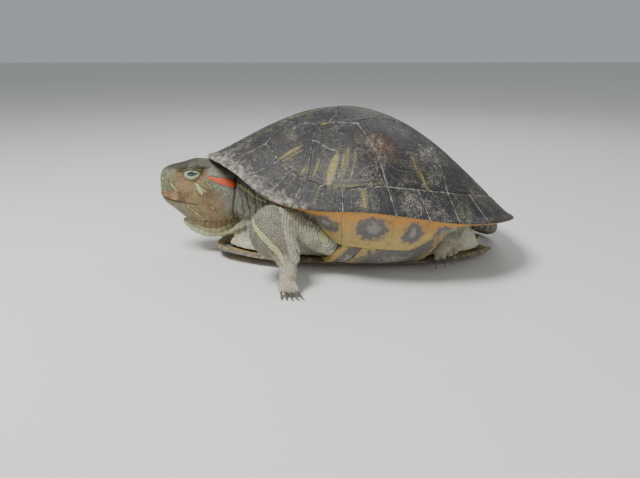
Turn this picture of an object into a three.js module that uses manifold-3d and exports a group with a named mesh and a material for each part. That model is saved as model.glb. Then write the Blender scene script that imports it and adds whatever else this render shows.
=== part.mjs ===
// A red-eared slider turtle, life size, resting on the ground with its head half drawn in.
// Millimetres, +Z up, the head towards -Y and the animal's left side towards +X.
// The shell's plates, the head, jaw, eyes, neck, trunk, legs, feet and tail are separate closed solids.
import * as THREE from "three";
import { mergeVertices } from "three/addons/utils/BufferGeometryUtils.js";
import Module from "manifold-3d";

const wasm = await Module();
wasm.setup();

// ---------------------------------------------------------------- driving sizes
const GAP = 0.3; // between neighbouring solids
const SHELL = {
  centreY: -9.6, // the dome's highest point, ahead of the middle of the shell
  height: 92.5, // over the shell's own base plane
  plate: 3, // thickness of bone and horn together
  pitch: 3, // degrees, nose up
  roll: 3, // degrees, left side up
  lift: 3.1, // of the base plane over the ground
  forward: 8, // of the shell's middle behind the model's origin
};
const CENTRE = { x: 0.2, y: 5.5 }; // moves the whole animal over the origin
const LIP = 12; // how far the rim's underside reaches inwards at the openings

// Tables against the angle round the dome's top: 0 at the front, 90 at the left, 180 at the tail.
const RIM_RADIUS = [
  [0, 90.4],
  [20, 82],
  [40, 74.3],
  [60, 71.5],
  [80, 73.7],
  [100, 80.8],
  [120, 90.6],
  [140, 102.7],
  [160, 109.6],
  [180, 109.6],
];
const RIM_HEIGHT = [
  [0, 56.5],
  [25, 53],
  [50, 39.5],
  [75, 36.9],
  [100, 38.6],
  [130, 34.3],
  [155, 32.2],
  [180, 28],
];
// Share of the radius at which the marginal plates begin.
const MARGINAL_SHARE = [
  [0, 0.8],
  [27, 0.73],
  [43, 0.785],
  [63, 0.86],
  [86, 0.91],
  [106, 0.877],
  [132, 0.85],
  [180, 0.86],
];
// Each seam between marginal plates: its angle at the rim, and at the inner end.
const MARGINAL_SEAMS = [
  [2.6, 3.5],
  [17.5, 26.5],
  [31.5, 42.5],
  [47, 53],
  [61.5, 65],
  [86.5, 85.7],
  [107, 105.6],
  [119, 119],
  [129.5, 132],
  [141.5, 143],
  [154, 155],
  [167, 167.5],
  [180, 180],
];
const BRIDGE = { start: 59, full: 88, fade: 116, end: 140, seamInset: 13, seamHeight: 15 };

// Half the plastron's width against the place along the shell.
const PLASTRON_WIDTH = [
  [-93, 14],
  [-85, 24],
  [-65, 35],
  [-45, 42],
  [-20, 46.5],
  [0, 48],
  [30, 48],
  [48, 44],
  [65, 38],
  [80, 27],
  [90, 14],
];
// Seams across the plastron: place on the midline, and at the outer edge.
const PLASTRON_SEAMS = [
  [-93, -91],
  [-72, -83],
  [-50, -46],
  [-18, -12],
  [24, 38],
  [58, 66],
  [83, 89],
];
const PLASTRON_NAMES = ["gular", "humeral", "pectoral", "abdominal", "femoral", "anal"];

const radians = THREE.MathUtils.degToRad;
const lerp = THREE.MathUtils.lerp;
const clamp = THREE.MathUtils.clamp;
const smoothstep = THREE.MathUtils.smoothstep;
const v3 = (x, y, z) => new THREE.Vector3(x, y, z);
const p2 = (x, y) => new THREE.Vector2(x, y);

// A smooth curve through a table of [place, value], read at one place.
function through(table, place) {
  const last = table.length - 1;
  const at = clamp(place, table[0][0], table[last][0]);
  let i = 0;
  while (i < last - 1 && at > table[i + 1][0]) i++;
  const [x0, y0] = table[i];
  const [x1, y1] = table[i + 1];
  const [xa, ya] = table[Math.max(i - 1, 0)];
  const [xb, yb] = table[Math.min(i + 2, last)];
  const run = x1 - x0;
  const t = (at - x0) / run;
  const slope0 = ((y1 - ya) / (x1 - xa)) * run;
  const slope1 = ((yb - y0) / (xb - x0)) * run;
  const t2 = t * t;
  const t3 = t2 * t;
  return (
    (2 * t3 - 3 * t2 + 1) * y0 + (t3 - 2 * t2 + t) * slope0 + (3 * t2 - 2 * t3) * y1 + (t3 - t2) * slope1
  );
}

// ---------------------------------------------------------------- making solids
// One closed geometry from points and triangles, with shared points merged and flat triangles dropped.
function closedGeometry(points, triangles) {
  const raw = new THREE.BufferGeometry();
  raw.setAttribute("position", new THREE.Float32BufferAttribute(points.flatMap((p) => [p.x, p.y, p.z]), 3));
  raw.setIndex(triangles.flat());
  const merged = mergeVertices(raw, 1e-3);
  const old = merged.index.array;
  const kept = [];
  for (let i = 0; i < old.length; i += 3) {
    const [a, b, c] = [old[i], old[i + 1], old[i + 2]];
    if (a !== b && b !== c && a !== c) kept.push(a, b, c);
  }
  merged.setIndex(kept);
  return merged;
}

// Rings of points joined into a tube; the first and last rings are closed with flat caps.
function ringGeometry(rings) {
  const count = rings[0].length;
  const points = rings.flat();
  const triangles = [];
  for (let r = 0; r + 1 < rings.length; r++)
    for (let i = 0; i < count; i++) {
      const j = (i + 1) % count;
      const [a, b, c, d] = [r * count + i, r * count + j, (r + 1) * count + j, (r + 1) * count + i];
      triangles.push([a, b, c], [a, c, d]);
    }
  const end = (rings.length - 1) * count;
  for (const [a, b, c] of capTriangles(count)) triangles.push([a, c, b], [end + a, end + b, end + c]);
  return outwards(closedGeometry(points, triangles));
}

// A zigzag of triangles over a ring of points.
function capTriangles(count) {
  const triangles = [];
  let [low, high] = [0, count - 1];
  while (high - low > 1) {
    triangles.push([low, low + 1, high]);
    low++;
    if (high - low > 1) {
      triangles.push([low, high - 1, high]);
      high--;
    }
  }
  return triangles;
}

// Turns a closed geometry the right way out, by the sign of its volume.
function outwards(geometry) {
  const p = geometry.attributes.position;
  const index = geometry.index.array;
  const [a, b, c] = [v3(), v3(), v3()];
  let volume = 0;
  for (let i = 0; i < index.length; i += 3) {
    a.fromBufferAttribute(p, index[i]);
    b.fromBufferAttribute(p, index[i + 1]);
    c.fromBufferAttribute(p, index[i + 2]);
    volume += a.dot(b.cross(c));
  }
  if (volume > 0) return geometry;
  for (let i = 0; i < index.length; i += 3) [index[i], index[i + 1]] = [index[i + 1], index[i]];
  return geometry;
}

// A curved plate: point(u, v) gives its outer and inner points for u and v from 0 to 1.
function plateGeometry(point, across, along) {
  const points = [];
  for (const side of ["outer", "inner"])
    for (let j = 0; j <= along; j++)
      for (let i = 0; i <= across; i++) points.push(point(i / across, j / along)[side]);
  const at = (i, j, layer) => layer * (across + 1) * (along + 1) + j * (across + 1) + i;
  const triangles = [];
  const quad = (a, b, c, d) => triangles.push([a, b, c], [a, c, d]);
  for (let j = 0; j < along; j++)
    for (let i = 0; i < across; i++) {
      quad(at(i, j, 0), at(i + 1, j, 0), at(i + 1, j + 1, 0), at(i, j + 1, 0));
      quad(at(i, j, 1), at(i, j + 1, 1), at(i + 1, j + 1, 1), at(i + 1, j, 1));
    }
  for (let i = 0; i < across; i++) {
    quad(at(i, 0, 1), at(i + 1, 0, 1), at(i + 1, 0, 0), at(i, 0, 0));
    quad(at(i, along, 0), at(i + 1, along, 0), at(i + 1, along, 1), at(i, along, 1));
  }
  for (let j = 0; j < along; j++) {
    quad(at(0, j, 0), at(0, j + 1, 0), at(0, j + 1, 1), at(0, j, 1));
    quad(at(across, j, 1), at(across, j + 1, 1), at(across, j + 1, 0), at(across, j, 0));
  }
  return outwards(closedGeometry(points, triangles));
}

function toSolid(geometry) {
  const bare = new THREE.BufferGeometry();
  bare.setAttribute("position", geometry.attributes.position);
  bare.setIndex(geometry.index);
  const merged = mergeVertices(bare, 1e-3);
  const numbers = { numProp: 3, vertProperties: new Float32Array(merged.attributes.position.array) };
  return new wasm.Manifold(new wasm.Mesh({ ...numbers, triVerts: new Uint32Array(merged.index.array) }));
}

// The largest body of a solid, as a geometry: a cut can leave crumbs, which are dropped.
function toGeometry(solid) {
  const bodies = solid.decompose().sort((a, b) => b.volume() - a.volume());
  const mesh = bodies[0].getMesh();
  const geometry = new THREE.BufferGeometry();
  const xyz = new Float32Array(mesh.numVert * 3);
  for (let i = 0; i < mesh.numVert; i++)
    xyz.set(mesh.vertProperties.subarray(i * mesh.numProp, i * mesh.numProp + 3), i * 3);
  geometry.setAttribute("position", new THREE.BufferAttribute(xyz, 3));
  geometry.setIndex(new THREE.BufferAttribute(new Uint32Array(mesh.triVerts), 1));
  return geometry;
}

const joined = (...geometries) => geometries.map(toSolid).reduce((a, b) => a.add(b));

// A tall block under the ground, which cuts a flat on whatever rests there.
const FLOOR_BLOCK = { size: 400, depth: 60 };
function floorBlock() {
  const block = new THREE.BoxGeometry(FLOOR_BLOCK.size, FLOOR_BLOCK.size, FLOOR_BLOCK.depth);
  block.deleteAttribute("normal");
  block.deleteAttribute("uv");
  return block.translate(0, 0, -FLOOR_BLOCK.depth / 2);
}
const groundSolid = toSolid(floorBlock());

// ---------------------------------------------------------------- the shell's surface
// Reads a table of the shell at any angle; both sides are alike, so the curve crosses the midline level.
function aroundShell(table, angle) {
  const last = table.length - 1;
  const before = [-table[1][0], table[1][1]];
  const after = [360 - table[last - 1][0], table[last - 1][1]];
  return through([before, ...table, after], Math.abs(angle));
}
const outlineRadius = (angle) => aroundShell(RIM_RADIUS, angle);
const rimHeight = (angle) => aroundShell(RIM_HEIGHT, angle);
const marginalShare = (angle) => aroundShell(MARGINAL_SHARE, angle);

// The dome flares out to the rim at both ends and falls steeply to it at the sides.
const DOME_POWER = { front: 1.34, side: 0.89, rear: 1.27 };
function domeHeight(angle, share) {
  const c = Math.cos(radians(angle));
  const power = lerp(DOME_POWER.side, c > 0 ? DOME_POWER.front : DOME_POWER.rear, c * c);
  return lerp(rimHeight(angle), SHELL.height, Math.max(1 - share * share, 0) ** power);
}

function planPoint(angle, radius) {
  return p2(Math.sin(radians(angle)) * radius, SHELL.centreY - Math.cos(radians(angle)) * radius);
}

function domeZ(x, y) {
  const angle = THREE.MathUtils.radToDeg(Math.atan2(x, SHELL.centreY - y));
  return domeHeight(angle, Math.hypot(x, y - SHELL.centreY) / outlineRadius(angle));
}

// The outer point of the dome over a plan point, moved inwards along the surface's normal by depth.
function domePoint(x, y, depth) {
  const step = 0.5;
  const slopeX = (domeZ(x + step, y) - domeZ(x - step, y)) / (2 * step);
  const slopeY = (domeZ(x, y + step) - domeZ(x, y - step)) / (2 * step);
  const normal = v3(-slopeX, -slopeY, 1).normalize();
  return v3(x, y, domeZ(x, y)).addScaledVector(normal, -depth);
}

// ---------------------------------------------------------------- plates of the dome
// A place along a line of plan points, by its share of the line's length.
function along(line, share) {
  const lengths = line.slice(1).map((p, i) => p.distanceTo(line[i]));
  let left = share * lengths.reduce((a, b) => a + b, 0);
  let i = 0;
  while (i < lengths.length - 1 && left > lengths[i]) left -= lengths[i++];
  return line[i].clone().lerp(line[i + 1], left / lengths[i]);
}

// A plate of the dome between four seams, each a line of plan points: south and north run from west to east.
function domePlate(south, north, west, east, across, lengthwise) {
  const size = (a, b) => along(a, 0.5).distanceTo(along(b, 0.5));
  const trimU = GAP / size(west, east);
  const trimV = GAP / size(south, north);
  return plateGeometry(
    (u0, v0) => {
      const u = lerp(trimU, 1 - trimU, u0);
      const v = lerp(trimV, 1 - trimV, v0);
      const blend = along(south, u).multiplyScalar(1 - v).addScaledVector(along(north, u), v);
      blend.addScaledVector(along(west, v), 1 - u).addScaledVector(along(east, v), u);
      blend.addScaledVector(along(south, 0), (u - 1) * (1 - v));
      blend.addScaledVector(along(south, 1), u * (v - 1));
      blend.addScaledVector(along(north, 0), (u - 1) * v).addScaledVector(along(north, 1), -u * v);
      return { outer: domePoint(blend.x, blend.y, 0), inner: domePoint(blend.x, blend.y, SHELL.plate) };
    },
    across,
    lengthwise,
  );
}

const bothSides = (line) => [...line.slice(1).map((p) => p2(-p.x, p.y)).reverse(), ...line];
const SEAM_STEPS = 3; // along the inner end of each marginal plate
const RIM_STEP = 9; // degrees that one step along a marginal plate may take
// The seam between the dome and the rim, over the marginal plates from one seam to another.
function marginSeam(first, last) {
  const line = [];
  for (let k = first; k < last; k++)
    for (let i = k === first ? 0 : 1; i <= SEAM_STEPS; i++) {
      const angle = lerp(MARGINAL_SEAMS[k][1], MARGINAL_SEAMS[k + 1][1], i / SEAM_STEPS);
      line.push(planPoint(angle, marginalShare(angle) * outlineRadius(angle)));
    }
  return line;
}

// Seams of the left half, in plan: where the vertebral plates meet each other and the costal plates.
const MARGIN_MEETS = [1, 4, 6, 8, 10]; // the marginal seams at which they meet the margin, front to rear
const CORNERS = [p2(14, -47), p2(20, -18), p2(17, 20), p2(12, 60)]; // two vertebrals and a costal
const POINTS = [p2(24, -31), p2(32, -7), p2(25, 38)]; // a vertebral and two costals
const BENDS = [p2(46, -34), p2(55, 5), p2(47, 44)]; // on the way down each costal seam
const FRONT_BEND = p2(18.5, -56);
const REAR_BEND = p2(24, 68);

function costalPlate(i) {
  const south = marginSeam(MARGIN_MEETS[i], MARGIN_MEETS[i + 1]);
  const ends = { 0: [CORNERS[0], POINTS[0]], 3: [POINTS[2], CORNERS[3]] };
  const north = ends[i] ?? [POINTS[i - 1], CORNERS[i], POINTS[i]];
  const west = [south[0], i === 0 ? FRONT_BEND : BENDS[i - 1], north[0]];
  const east = [south[south.length - 1], i === 3 ? REAR_BEND : BENDS[i], north[north.length - 1]];
  return domePlate(south, north, west, east, 6, 4);
}

function vertebralPlate(i) {
  const across = (k) => [p2(-CORNERS[k].x, CORNERS[k].y), CORNERS[k]];
  const frontHalf = [planPoint(0, marginalShare(0) * outlineRadius(0)), ...marginSeam(0, MARGIN_MEETS[0])];
  const rearHalf = marginSeam(MARGIN_MEETS[4], MARGINAL_SEAMS.length - 1).reverse();
  const south = i === 0 ? bothSides(frontHalf) : across(i - 1);
  const north = i === 4 ? bothSides(rearHalf) : across(i);
  const ends = [south[south.length - 1], north[north.length - 1]];
  const east = [ends[0], { 0: FRONT_BEND, 4: REAR_BEND }[i] ?? POINTS[i - 1], ends[1]];
  return domePlate(south, north, east.map((p) => p2(-p.x, p.y)), east, 6, 4);
}

// ---------------------------------------------------------------- plates of the rim
// How far the plates come down to the bridge: 0 at the openings, 1 along the bridge.
const bridgeShare = (angle) =>
  smoothstep(angle, BRIDGE.start, BRIDGE.full) * (1 - smoothstep(angle, BRIDGE.fade, BRIDGE.end));

// The rim's edge, in the plane through the dome's top: outwards and up from the rim line.
const KEEL = { back: 0.5, down: 1.6 }; // the sharp lower edge
const UNDERSIDE = { drop: 0.5, bulge: 3.2 }; // its inner end at the openings, and its swell at the bridge
const INNER_LOW = { opening: p2(-0.8, 1.2), bridge: p2(-2.1, 2.1) }; // the plate's thickness at that end
const RIM_CORE = { back: 5, down: 1 }; // the middle of the inner face, at the bridge
const TOP_SHARES = [0, 0.4, 0.75]; // of the way from the inner end to the rim

// The rim's cross-section between a seam's angles at the rim and at the inner end: an outer line from the
// dome round the keel to the end of the underside, and an inner line from the same start.
function rimSection(rimAngle, innerAngle) {
  const radius = outlineRadius(rimAngle);
  const rim = rimHeight(rimAngle);
  const share = bridgeShare(Math.abs(rimAngle));
  const start = marginalShare(innerAngle) + (1.4 * GAP) / outlineRadius(innerAngle);
  const at = (angle, r, z) => {
    const plan = planPoint(angle, r);
    return v3(plan.x, plan.y, z);
  };
  const top = TOP_SHARES.map((t) => {
    const angle = lerp(innerAngle, rimAngle, t);
    return at(angle, lerp(start, 1, t) * outlineRadius(angle), domeHeight(angle, lerp(start, 1, t)));
  });
  const keel = p2(radius - KEEL.back, rim - KEEL.down);
  const seam = p2(radius - BRIDGE.seamInset, BRIDGE.seamHeight);
  const under = p2(radius - LIP, rim - UNDERSIDE.drop).lerp(seam, share);
  const belly = keel.clone().lerp(under, 0.5);
  belly.x += UNDERSIDE.bulge * share;
  const innerLow = under.clone().add(INNER_LOW.opening.clone().lerp(INNER_LOW.bridge, share));
  const low = at(rimAngle, innerLow.x, innerLow.y);
  const high = at(innerAngle, start * outlineRadius(innerAngle) - 3 * GAP, top[0].z - SHELL.plate + GAP);
  const core = at(rimAngle, radius - RIM_CORE.back, rim - RIM_CORE.down);
  const middle = low.clone().lerp(high, 0.5).lerp(core, share);
  const lower = [p2(radius, rim + GAP), keel, belly, under].map((q) => at(rimAngle, q.x, q.y));
  return { outer: [...top, ...lower], inner: [high, high, middle, middle, middle, low, low] };
}

// A plate of the rim between two seams.
function rimPlate(from, to) {
  const last = rimSection(from[0], from[1]).outer.length - 1;
  const stations = Math.ceil((to[0] - from[0]) / RIM_STEP);
  return plateGeometry(
    (s, t) => {
      const inset = lerp(GAP / 2, -GAP / 2, t);
      const [rim, inner] = [0, 1].map((k) => {
        const middle = lerp(from[k], to[k], t);
        return middle + THREE.MathUtils.radToDeg(inset / outlineRadius(middle));
      });
      const section = rimSection(rim, inner);
      const i = Math.round(s * last);
      return { outer: section.outer[i], inner: section.inner[i] };
    },
    last,
    stations,
  );
}

// ---------------------------------------------------------------- plates of the underside
const PLASTRON_LEVEL = { slope: Math.tan(radians(SHELL.pitch)), middle: -2.1 }; // level with the ground
const PLASTRON_CURL = 2.2; // how far the plastron's edge turns up
const GULAR_RISE = 2; // how far its front end is turned up
const plastronHalf = (y) => through(PLASTRON_WIDTH, y);

// A point of the plastron's underside: share of the half width, and place along the shell.
function plastronPoint(share, y, depth = 0) {
  const rise = GULAR_RISE * smoothstep(-y, 55, 93) + PLASTRON_CURL * Math.abs(share) ** 5;
  return v3(share * plastronHalf(y), y, PLASTRON_LEVEL.middle + y * PLASTRON_LEVEL.slope + rise + depth);
}

function plastronPlate(i) {
  const seam = (k, share) => lerp(PLASTRON_SEAMS[k][0], PLASTRON_SEAMS[k][1], Math.abs(share));
  const at = (share, t, depth) =>
    plastronPoint(share, lerp(seam(i, share) + GAP * 0.7, seam(i + 1, share) - GAP * 0.7, t), depth);
  return plateGeometry(
    (s, t) => {
      const share = lerp(-1, 1, s);
      return { outer: at(share, t, 0), inner: at(share * 0.93, t, SHELL.plate) };
    },
    6,
    2,
  );
}

// The wing of the left side, which climbs from the plastron to the rim plates at the bridge.
const WING = { frontLow: -24, frontTop: -12, seamLow: -12, seamTop: -1, rearLow: 35, rearTop: 50 };
function wingGeometry(lowFrom, lowTo, topFrom, topTo) {
  return plateGeometry(
    (s, t) => {
      const y = lerp(topFrom, topTo, t);
      const inner = plastronPoint(0.9, lerp(lowFrom, lowTo, t), 1);
      const angle = rimAngleAt(y);
      const end = rimSection(angle, angle).outer.at(-1);
      const top = v3(end.x - 2 * GAP, end.y, end.z - 3 * GAP);
      const bend = v3(lerp(inner.x, top.x, 0.62), lerp(inner.y, top.y, 0.1), lerp(inner.z, top.z, 0.12));
      const curve = new THREE.QuadraticBezierCurve3(inner, bend, top);
      const outer = curve.getPoint(s);
      const ahead = curve.getTangent(s);
      return { outer, inner: outer.clone().add(v3(-ahead.z, 0, ahead.x).setLength(SHELL.plate)) };
    },
    4,
    3,
  );
}

// The angle at which the rim's underside ends at a place along the shell, at the bridge.
function rimAngleAt(y) {
  let angle = 90;
  for (let i = 0; i < 8; i++) {
    const radius = outlineRadius(angle) - BRIDGE.seamInset;
    angle = 90 + THREE.MathUtils.radToDeg(Math.asin((y - SHELL.centreY) / radius));
  }
  return angle;
}

const wings = {
  pectoral: wingGeometry(WING.frontLow, WING.seamLow - 2 * GAP, WING.frontTop, WING.seamTop - 2 * GAP),
  abdominal: wingGeometry(WING.seamLow + GAP, WING.rearLow, WING.seamTop + GAP, WING.rearTop),
};
const flipped = (geometry) => outwards(geometry.clone().scale(-1, 1, 1));

// ---------------------------------------------------------------- the trunk inside the shell
// How far the skin stands back from the rim, against the angle round the shell.
const SKIN_DEPTH = [
  [0, 42],
  [25, 36],
  [45, 22],
  [62, 15],
  [80, 14.5],
  [120, 15],
  [140, 20],
  [160, 28],
  [180, 32],
];
const TRUNK_SIDES = 26;
const TRUNK_CROWN = [0.03, 0.3, 0.55, 0.72]; // shares of the radius at which the top is drawn
const TRUNK_FLOOR = [0.97, 0.5, 0.03]; // and the underside

function trunkGeometry() {
  const angles = Array.from({ length: TRUNK_SIDES }, (_, i) => (360 * i) / TRUNK_SIDES - 180);
  const skinRadius = (angle) => outlineRadius(angle) - aroundShell(SKIN_DEPTH, angle);
  const crown = (share) => (angle) => {
    const at = planPoint(angle, Math.min(share * outlineRadius(angle), skinRadius(angle)));
    return domePoint(at.x, at.y, SHELL.plate + 2 * GAP);
  };
  // Down the side: how far it bulges past the skin's line, how far under the rim, and how near the plastron.
  const side = (bulge, drop, nearness) => (angle) => {
    const at = planPoint(angle, skinRadius(angle) + bulge * (1 - bridgeShare(Math.abs(angle))));
    return v3(at.x, at.y, rimHeight(angle) - drop).lerp(plastronTop(angle, 0.97), nearness);
  };
  const floor = (share) => (angle) => plastronTop(angle, share);
  const flanks = [side(0, -3, 0), side(1, 5, 0.08), side(4, 6, 0.42), side(3, 6, 0.78)];
  const levels = [...TRUNK_CROWN.map(crown), ...flanks, ...TRUNK_FLOOR.map(floor)];
  return ringGeometry(levels.map((level) => angles.map(level)));
}

const PLASTRON_INSIDE = { front: -86, rear: 84, side: 5.5 }; // how far the trunk's underside reaches
// A point just over the plastron's upper face, in the direction of an angle.
function plastronTop(angle, share) {
  const [s, c] = [Math.sin(radians(angle)), -Math.cos(radians(angle))];
  const end = Math.abs(c) < 1e-3 ? Infinity : (c > 0 ? PLASTRON_INSIDE.rear : PLASTRON_INSIDE.front) / c;
  let reach = 30;
  for (let i = 0; i < 20; i++) {
    const half = plastronHalf(c * reach) - PLASTRON_INSIDE.side;
    reach = lerp(reach, Math.min(half / Math.max(Math.abs(s), 1e-3), end), 0.4);
  }
  const y = c * reach * share;
  const rise = SHELL.plate + 2 * GAP + (share > 0.9 ? 1.2 : 0);
  return plastronPoint(0, y, rise).setX(s * reach * share);
}

// ---------------------------------------------------------------- flesh
// Rows of [place, top, bottom, half width] from the snout backwards; place, top and bottom are y and z.
const HEAD = [
  [-120.4, 48, 42, 2],
  [-119.4, 54.5, 37, 6.2],
  [-116.5, 57.5, 32.8, 9],
  [-112, 59.2, 29.6, 11],
  [-106, 60.6, 26.6, 12.9],
  [-100, 62.4, 24.5, 14.4],
  [-94, 63.6, 21.8, 16],
  [-87, 62.8, 19.2, 17.4],
  [-80, 59.6, 19, 18.2],
  [-74, 56.8, 21, 18],
  [-69.6, 54.2, 23.5, 17.2],
];
const NECK = [
  [-69.2, 54, 23, 17.4],
  [-64, 54.5, 18.5, 19],
  [-56, 55.5, 15, 20.5],
  [-46, 57, 13.5, 22],
  [-34, 57, 13, 22],
];
const THROAT_FOLD = [
  [-107.6, 22.5, 20.5, 1.2],
  [-105.5, 22.8, 17.6, 6],
  [-100, 21.6, 13.2, 10],
  [-92, 19.6, 10, 13],
  [-84, 19.5, 10.6, 15.5],
  [-76, 22, 12.6, 18],
  [-66, 26, 16.4, 20],
  [-60, 26, 18, 18],
];
const MOUTH = { front: [-124, 38.9], middle: [-107, 36.2], corner: [-93.5, 34.6], hinge: [-84, 16] };
const EYE = { radius: 6, at: [7.4, -97.6, 55] };

// A body along y from rows of [place, top, bottom, half width]; grow makes it larger all round.
function bodyGeometry(rows, sides, power, grow = 0) {
  const rings = rows.map(([y, top, bottom, half], k) => {
    const end = k === 0 ? -grow : k === rows.length - 1 ? grow : 0;
    const [middle, height] = [(top + bottom) / 2, (top - bottom) / 2 + grow];
    return Array.from({ length: sides }, (_, i) => {
      const turn = (2 * Math.PI * i) / sides;
      const x = rounded(Math.sin(turn), power) * (half + grow);
      return v3(x, y + end, middle + rounded(Math.cos(turn), power) * height);
    });
  });
  return ringGeometry(rings);
}
const rounded = (value, power) => Math.sign(value) * Math.abs(value) ** (2 / power);

// A limb along a path: rows of [x, y, z, half width, half thickness], its broad face turned up or as given.
function limbGeometry(rows, facing, sides, grow = 0, stepsEach = 2) {
  const path = new THREE.CatmullRomCurve3(rows.map(([x, y, z]) => v3(x, y, z)), false, "centripetal");
  const steps = (rows.length - 1) * stepsEach;
  const rings = [];
  for (let k = 0; k <= steps; k++) {
    const share = k / steps;
    const ahead = path.getTangent(share);
    const row = share * (rows.length - 1);
    const size = [3, 4].map((c) => through(rows.map((r, i) => [i, r[c]]), row) + grow);
    const across = facing.clone().cross(ahead).normalize();
    const out = ahead.clone().cross(across).normalize();
    const centre = path.getPoint(share).addScaledVector(ahead, k === 0 ? -grow : k === steps ? grow : 0);
    rings.push(
      Array.from({ length: sides }, (_, i) => {
        const turn = (2 * Math.PI * i) / sides;
        return centre
          .clone()
          .addScaledVector(across, Math.cos(turn) * size[0])
          .addScaledVector(out, Math.sin(turn) * size[1]);
      }),
    );
  }
  return ringGeometry(rings);
}

const LIMBS = {
  left_foreleg: [
    [34, -20, 30, 12, 12],
    [47, -37, 30, 12.5, 13.5],
    [58, -45.5, 30, 12.5, 14.5],
    [66, -41, 26, 13, 12],
    [71, -36, 20, 10.5, 9],
    [75, -34.6, 15, 9, 6.5],
  ],
  right_foreleg: [
    [-34, -20, 30, 12, 12],
    [-47, -38, 27, 12, 12.5],
    [-59, -46, 25, 12, 12.5],
    [-67, -41, 20.5, 12, 10.5],
    [-73.5, -38, 15, 10, 8.5],
    [-77.5, -38.5, 11.5, 9, 6],
  ],
  left_hind_leg: [
    [24, 62, 26, 12, 12],
    [36, 60, 25, 11, 11],
    [44, 59, 21.5, 8.5, 8.5],
    [47, 58.5, 18, 8, 6],
  ],
  right_hind_leg: [
    [-24, 58, 20, 13, 11],
    [-38, 62, 19, 13, 11],
    [-48, 69, 15, 11, 9.5],
    [-53.5, 74, 11, 9, 7],
  ],
};
const TAIL = [
  [0, 78, 21.5, 8.5, 8],
  [-3, 92, 18.5, 7, 6.5],
  [-10, 102.5, 13, 5.4, 5],
  [-20, 105.5, 7.6, 4, 3.6],
  [-30, 103.5, 3.8, 2.8, 2.4],
  [-38, 99, 1.8, 1.2, 1.2],
];

// Each foot: where the palm begins and ends, the way its back faces, and its toes.
const FEET = {
  left_forefoot: {
    leg: "left_foreleg",
    from: [75.6, -34.5, 14],
    to: [84.5, -35.5, 5],
    facing: [0.7, 0, 0.7],
    half: 8,
    thick: 6,
    toes: 5,
    spread: 0.3,
    lean: 0.16,
    toe: 6.5,
    claw: 8,
  },
  right_forefoot: {
    leg: "right_foreleg",
    from: [-78.2, -38.6, 10.6],
    to: [-86.5, -40, 3.4],
    facing: [-0.6, 0, 0.8],
    half: 8.6,
    thick: 5.4,
    toes: 5,
    spread: 0.9,
    lean: 0,
    toe: 5,
    claw: 6,
  },
  left_hind_foot: {
    leg: "left_hind_leg",
    from: [47.6, 58.5, 17],
    to: [51.2, 59.6, 13],
    facing: [0.8, -0.3, 0.5],
    half: 7,
    thick: 4.6,
    toes: 4,
    spread: 0.7,
    lean: 0,
    toe: 4,
    claw: 5,
  },
  right_hind_foot: {
    leg: "right_hind_leg",
    from: [-54.2, 74.6, 10],
    to: [-60, 81, 3.6],
    facing: [-0.5, 0.5, 0.7],
    half: 8.6,
    thick: 5.6,
    toes: 4,
    spread: 1,
    lean: 0,
    toe: 5,
    claw: 5.5,
  },
};
const TOE = { side: 2.2, back: 2.1, tip: 1.45, lowest: 1.5 };
const CLAW = { side: 1.1, back: 1.2, tip: 0.35, droop: 0.2, arch: 0.5, lowest: 0.3 };

// A foot: a flat palm, with its toes spread like a fan, and a claw on each.
function footGeometries(foot) {
  const from = v3(...foot.from);
  const ahead = v3(...foot.to).sub(from);
  const reach = ahead.length();
  ahead.normalize();
  const facing = v3(...foot.facing);
  const across = facing.clone().cross(ahead).normalize();
  const up = ahead.clone().cross(across).normalize();
  const row = (at, half, thick) => [...from.clone().addScaledVector(ahead, at * reach), half, thick];
  const palm = [
    row(0, foot.half, foot.thick),
    row(0.5, foot.half * 1.05, foot.thick * 0.85),
    row(1, foot.half * 0.85, foot.thick * 0.5),
  ];
  const pieces = [limbGeometry(palm, up, 10, 0, 1)];
  for (let i = 0; i < foot.toes; i++) {
    const place = i / (foot.toes - 1) - 0.5;
    const turn = place * foot.spread + foot.lean;
    const aim = ahead.clone().multiplyScalar(Math.cos(turn)).addScaledVector(across, Math.sin(turn));
    const root = from.clone().addScaledVector(ahead, reach * 0.78);
    root.addScaledVector(across, place * foot.half * 1.5);
    const length = foot.toe * (1 - 0.6 * place * place);
    const knuckle = root.clone().addScaledVector(aim, length * 0.6).addScaledVector(up, 0.4);
    const tip = root.clone().addScaledVector(aim, length);
    tip.z = Math.max(tip.z, TOE.lowest);
    const toe = [
      [...root, TOE.side, TOE.back],
      [...knuckle, TOE.side, TOE.back],
      [...tip, TOE.tip, TOE.tip],
    ];
    const bend = tip.clone().addScaledVector(aim, foot.claw * 0.45).addScaledVector(up, CLAW.arch);
    const point = tip.clone().addScaledVector(aim, foot.claw);
    point.z = Math.max(point.z - CLAW.droop * foot.claw, CLAW.lowest);
    const claw = [
      [...tip.clone().addScaledVector(aim, -1), CLAW.side, CLAW.back],
      [...bend, CLAW.side * 0.75, CLAW.back * 0.8],
      [...point, CLAW.tip, CLAW.tip],
    ];
    pieces.push(limbGeometry(toe, up, 4, 0, 1), limbGeometry(claw, up, 4, 0, 1));
  }
  return pieces;
}

// ---------------------------------------------------------------- flesh solids; grow leaves room round one
const UPWARDS = v3(0.1, 0, 1);
const limbSolid = (name, grow = 0) => toSolid(limbGeometry(LIMBS[name], UPWARDS, 10, grow));
const tailSolid = (grow = 0) => toSolid(limbGeometry(TAIL, UPWARDS, 8, grow));
const neckSolid = (grow = 0) => toSolid(bodyGeometry(NECK, 20, 2.1, grow));
const headSolid = (grow = 0) => toSolid(bodyGeometry(HEAD, 20, 2.3, grow));
const throatSolid = (grow = 0) => toSolid(bodyGeometry(THROAT_FOLD, 12, 2, grow));

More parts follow.
